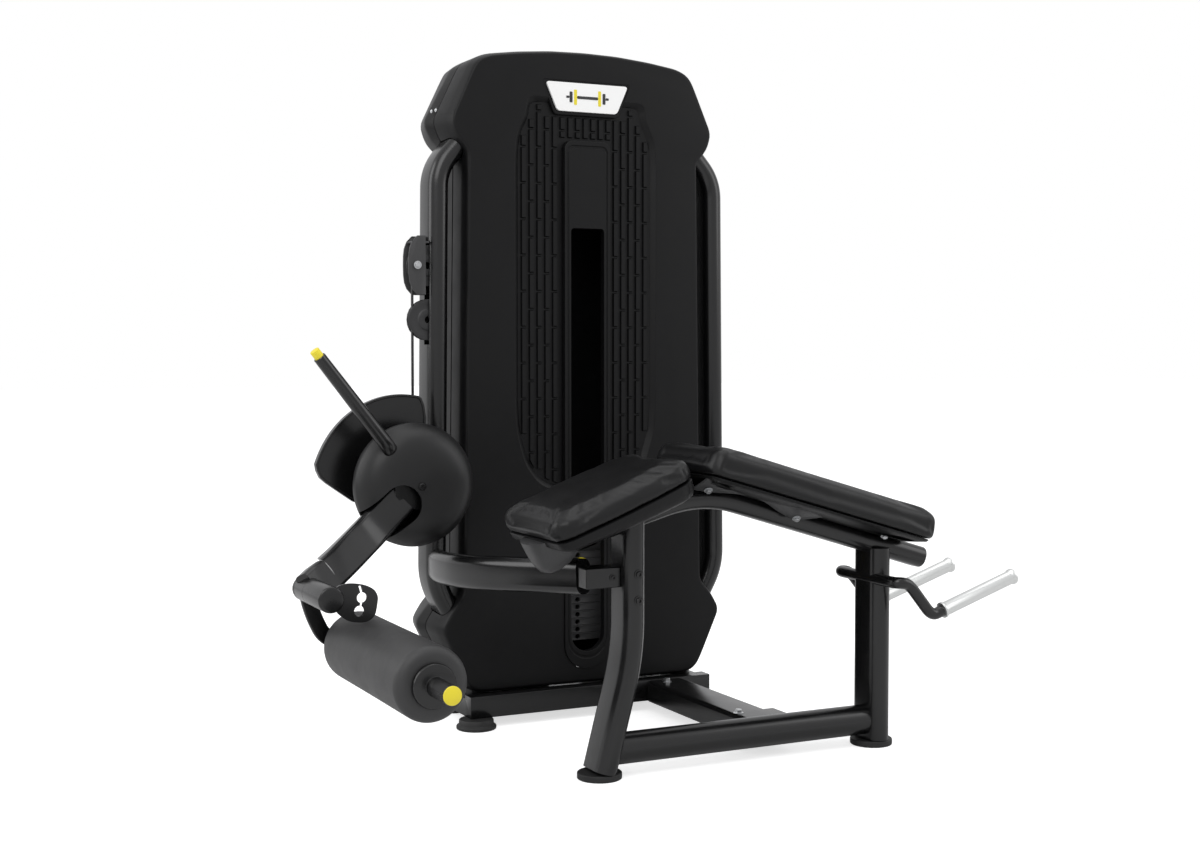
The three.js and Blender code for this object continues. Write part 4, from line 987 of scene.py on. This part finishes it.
class Pad:
    """One cushion's place: the middle of its low or left end, its run along the top, and its width."""

    def __init__(self, start, end, thick, width, narrow):
        self.origin = Vector((start[0], 0, start[1]))
        run = Vector((end[0] - start[0], 0, end[1] - start[1]))
        self.length = run.length
        self.along = run.normalized()
        self.out = Vector((-self.along.z, 0, self.along.x))
        self.thick, self.width, self.narrow = thick, width, narrow

    def half_width(self, t):
        return self.width / 2 * (1 - self.narrow(t))

    def plan(self, inset, corner=26, side_steps=16, corner_steps=8):
        """The outline as (distance along, across), counter-clockwise from above, drawn in by inset."""
        length = self.length
        quarter = [math.pi / 2 * k / corner_steps for k in range(1, corner_steps)]
        points = []
        for side in (-1, 1):
            order = range(side_steps + 1) if side < 0 else range(side_steps, -1, -1)
            for i in order:
                s = corner + i / side_steps * (length - 2 * corner)
                points.append((s, side * self.half_width(s / length)))
            end = length if side < 0 else 0
            inner, half = end + side * corner, self.half_width(end / length)
            for a in quarter:
                v = side * (half - corner * (1 - math.cos(a)))
                points.append((inner - side * corner * math.sin(a), v))
            across = half - corner
            for k in range(9):
                points.append((end, side * (across - 2 * across * k / 8)))
            for a in quarter:
                v = side * (corner * (1 - math.sin(a)) - half)
                points.append((inner - side * corner * math.cos(a), v))
        return drawn_in(points, inset) if inset else points

    def place(self, s, v, depth):
        return at(*(self.origin + self.along * s - self.out * depth + Vector((0, v, 0))))

    def depth_of(self, place):
        """How far below the pad's top a point lies, in millimetres."""
        return -((place - ORIGIN) / MM - self.origin).dot(self.out)

    def ring(self, depth, inset, slope=0.0):
        """The plan at a depth below the top; slope adds depth towards the pad's second end."""
        return [self.place(s, v, depth + slope * s / self.length) for s, v in self.plan(inset)]


THIGH = Pad((-384, 517), (-92, 630), 44, 288, lambda t: 0.07 * (1 - t) ** 3 + 0.17 * t ** 3)
CHEST = Pad((-32, 648), (508, 491), 56, 262, lambda t: 0.1 * t * t)


SWELL_LIMIT = 5.0 * MM
SWELL_FRAMES = 20


def inflate(piece, pad):
    """Lets the upholstery swell under light pressure, held along its lower edge."""
    rest = [v.co.copy() for v in piece.data.vertices]
    hold = piece.vertex_groups.new(name="stapled")
    underside = [i for i, co in enumerate(rest) if pad.depth_of(co) > pad.thick - 9]
    hold.add(underside, 1.0, "REPLACE")
    cloth = piece.modifiers.new("cloth", "CLOTH")
    cloth.settings.use_pressure = True
    cloth.settings.uniform_pressure_force = 4.0
    cloth.settings.vertex_group_mass = "stapled"
    cloth.settings.tension_stiffness = 40
    cloth.settings.compression_stiffness = 40
    cloth.settings.bending_stiffness = 3
    cloth.settings.effector_weights.gravity = 0
    cloth.settings.quality = 5
    cloth.point_cache.frame_start, cloth.point_cache.frame_end = 1, SWELL_FRAMES
    scene = bpy.context.scene
    for step in range(1, SWELL_FRAMES + 1):
        scene.frame_set(step)
    evaluated = piece.evaluated_get(bpy.context.evaluated_depsgraph_get())
    swollen = [v.co.copy() for v in evaluated.data.vertices]
    piece.modifiers.remove(cloth)
    scene.frame_set(1)
    for vertex, start, end in zip(piece.data.vertices, rest, swollen):
        shift = end - start
        if shift.length > SWELL_LIMIT:
            shift = shift.normalized() * SWELL_LIMIT
        vertex.co = start + shift


def settled(piece):
    """Makes the piece's modifiers part of its mesh."""
    bpy.context.view_layer.update()
    depsgraph = bpy.context.evaluated_depsgraph_get()
    piece.data = bpy.data.meshes.new_from_object(piece.evaluated_get(depsgraph))
    piece.modifiers.clear()


def cushion(name, pad, node):
    """A padded cushion: nearly flat top, soft shoulders, upright sides and a tucked lower edge."""
    thick = pad.thick
    rings = [pad.ring(*r) for r in (
        (thick, 16), (thick, 8), (thick - 0.7, 4), (thick - 2.5, 1.6), (thick - 6, 0.3), (thick * 0.62, 0),
        (20, 0.2), (14, 1.2), (9.6, 3.2), (6.2, 6.5), (3.9, 10.5), (2.6, 15), (1.8, 22),
    )]
    top = [pad.ring(depth, inset) for inset, depth in ((34, 1.2), (52, 0.9), (74, 0.8))]
    verts, faces = loft(rings + top)
    piece = make(name, verts, faces, "black_vinyl", "frame", sharp=70)
    remesh = piece.modifiers.new("even", "REMESH")
    remesh.mode = "VOXEL"
    remesh.voxel_size = 0.0055
    settled(piece)
    smooth = piece.modifiers.new("relax", "SMOOTH")
    smooth.iterations = 6
    smooth.factor = 0.5
    settled(piece)
    inflate(piece, pad)
    finer = piece.modifiers.new("finer", "SUBSURF")
    finer.levels = finer.render_levels = 1
    smooth_by_angle(piece, 70)
    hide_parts(node)


SHELL_SEAM = 2.2  # gap between a cushion and the shell under it


def thigh_shell():
    top = THIGH.thick + SHELL_SEAM
    rings = [THIGH.ring(top + depth, inset, slope) for depth, inset, slope in (
        (-0.6, 14, 0), (-0.6, 5, 0), (1, 2.2, 0), (13, 4, 6),
        (19, 10, 12), (25, 26, 14), (30, 52, 10), (32, 78, 6),
    )]
    shell = moulded("thigh_shell", loft(rings), bevel=1, sharp=50)
    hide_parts("thigh_pad_shell")
    rings = []
    for depth, centre, half_length, half_width in (
        (4, 48, 66, 60), (24, 46, 62, 56), (40, 40, 54, 48),
        (56, 32, 42, 38), (68, 26, 30, 28), (74, 22, 16, 16),
    ):
        ring = []
        for i in range(48):
            a = 2 * math.pi * i / 48
            u = math.copysign(abs(math.cos(a)) ** 0.75, math.cos(a)) * half_length
            v = math.copysign(abs(math.sin(a)) ** 0.75, math.sin(a)) * half_width
            ring.append(THIGH.place(centre + u, v, top + depth))
        rings.append(ring)
    make("thigh_shell_chin", *loft(rings), "charcoal_machined_paint", "frame", sharp=50)


def chest_shell():
    top = CHEST.thick + SHELL_SEAM
    rings = [CHEST.ring(top + depth, inset) for depth, inset in (
        (-0.6, 22), (-0.6, 10), (1, 8), (5, 12), (9, 28), (13, 52), (15, 70),
    )]
    shell = moulded("chest_shell", loft(rings), bevel=1, sharp=50)
    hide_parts("chest_pad_shell")
    for side, label in ((-1, "near"), (1, "far")):
        sections = []
        for i in range(33):
            t = i / 32
            s = 14 + 316 * t
            hang = 31 - 17 * math.sin(math.pi * min(1.0, t / 0.78)) ** 2
            hang *= min(1.0, (1 - t) / 0.2 + 0.12)
            upper, lower = 92.0, 92.0 - 56.0 * hang / 31
            across = ((upper + 1.5, 3.0), (upper - 14, 5.0 + hang * 0.3), (lower, hang),
                      (lower - 3.4, hang), (upper - 19, 4.0 + hang * 0.25), (upper - 4, 2.0))
            sections.append([CHEST.place(s, side * v, top + d) for v, d in across])
        make(f"chest_skirt_{label}", *loft(sections), "charcoal_machined_paint", "frame", sharp=60)
        for index, (s, v, d) in enumerate(((40, 58, 25), (252, 60, 30), (470, 62, 14))):
            place = CHEST.origin + CHEST.along * s - CHEST.out * (top + d) + Vector((0, side * v, 0))
            heading = -CHEST.out + Vector((0, side * 0.8, 0))
            hex_bolt(f"chest_bolt_{label}_{index + 1}", place, heading, 6, 6, "frame")


# ---- small visible hardware


def stack_cable():
    """The cable down to the head plate, as a straight rod from the foot to the top of its CAD box."""
    low, high = box_mm("stack_cable")
    centre = (low + high) / 2
    foot, top_end = Vector((centre.x, centre.y, low.z)), Vector((centre.x, centre.y, high.z))
    skin = rod_between(foot, top_end, (high.x - low.x) / 2, sides=16)
    cable = make("stack_cable_run", *skin, "black_cable_coating", "frame")
    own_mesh(cable)
    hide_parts("stack_cable")


def hardware():
    for index in range(2):
        place = (-334 - index * 2, 596 + index * 22, 1356)
        hex_bolt(f"cover_screw_{index + 1}", place, (-1, -0.3, 0.1), 2.6, 2.2, "frame", sides=24)
    hex_bolt("support_bolt", (-352, 532, 358), (-0.6, -1, 0), 7, 6, "frame")
    bracket = box_mm("side_pulley_bracket")[0]
    hex_bolt("pulley_bracket_bolt", (-399, bracket.y - 0.2, 1013), (0, -1, 0), 6, 5, "frame")


dress_cad_nodes()
stack_cable()
front_cover()
rear_cover()
field_tray()
ribs()
window_frame()
badge()
columns()
drive_cam()
swing_arm()
adjuster_plate()
disc_cover()
lever()
roller()
roller_link()
legs()
rails()
spine()
support()
handles()
cushion("thigh_cushion", THIGH, "thigh_pad")
cushion("chest_cushion", CHEST, "chest_pad")
thigh_shell()
chest_shell()
hardware()


# ---- studio


def studio():
    scene = bpy.context.scene
    bpy.ops.mesh.primitive_plane_add(size=60)
    floor = bpy.context.object
    floor.name = "studio_floor"
    material, nodes, links, shader = new_material("studio_floor")
    shader.inputs["Base Color"].default_value = (0.7, 0.7, 0.7, 1)
    shader.inputs["Roughness"].default_value = 0.95
    shader.inputs["Specular IOR Level"].default_value = 0.0
    shader.inputs["Emission Color"].default_value = (1, 1, 1, 1)
    seen = nodes.new("ShaderNodeLightPath").outputs["Is Camera Ray"]
    links.new(value_range(nodes, links, seen, 0.0, 0.66), shader.inputs["Emission Strength"])
    floor.data.materials.append(material)
    world = bpy.data.worlds.new("studio")
    world.use_nodes = True
    scene.world = world
    nodes, links = world.node_tree.nodes, world.node_tree.links
    background = nodes["Background"]
    path = nodes.new("ShaderNodeLightPath")
    mix = nodes.new("ShaderNodeMix")
    mix.data_type = "RGBA"
    mix.inputs["A"].default_value = (0.78, 0.78, 0.79, 1)
    mix.inputs["B"].default_value = (1, 1, 1, 1)
    links.new(path.outputs["Is Camera Ray"], mix.inputs["Factor"])
    links.new(mix.outputs["Result"], background.inputs["Color"])
    background.inputs["Strength"].default_value = 1.0
    for name, place, size, power in (
        ("key", (-2.4, -2.6, 3.4), (2.6, 3.0), 60),
        ("side", (-3.2, 1.2, 2.0), (1.6, 2.6), 30),
        ("fill", (3.2, -1.8, 2.4), (2.0, 2.6), 25),
        ("top", (0.2, -0.2, 4.0), (3.0, 3.0), 30),
    ):
        data = bpy.data.lights.new(name, "AREA")
        data.shape = "RECTANGLE"
        data.size, data.size_y = size
        data.energy = power
        light = bpy.data.objects.new(name, data)
        light.location = place
        light.rotation_euler = (Vector((0, 0, 0.7)) - Vector(place)).to_track_quat("-Z", "Y").to_euler()
        scene.collection.objects.link(light)
    scene.view_settings.view_transform = "Standard"


def camera():
    """The viewpoint: in front and to the left, a little above the pads, looking slightly down."""
    data = bpy.data.cameras.new("camera")
    data.lens = 49.4
    data.sensor_width = 36
    obj = bpy.data.objects.new("camera", data)
    obj.location = at(-1614, -2840, 836.7)
    yaw, pitch = math.radians(26.08), math.radians(-2.675)
    forward = Vector((math.sin(yaw) * math.cos(pitch), math.cos(yaw) * math.cos(pitch), math.sin(pitch)))
    obj.rotation_euler = forward.to_track_quat("-Z", "Y").to_euler()
    bpy.context.scene.collection.objects.link(obj)
    bpy.context.scene.camera = obj


studio()
camera()
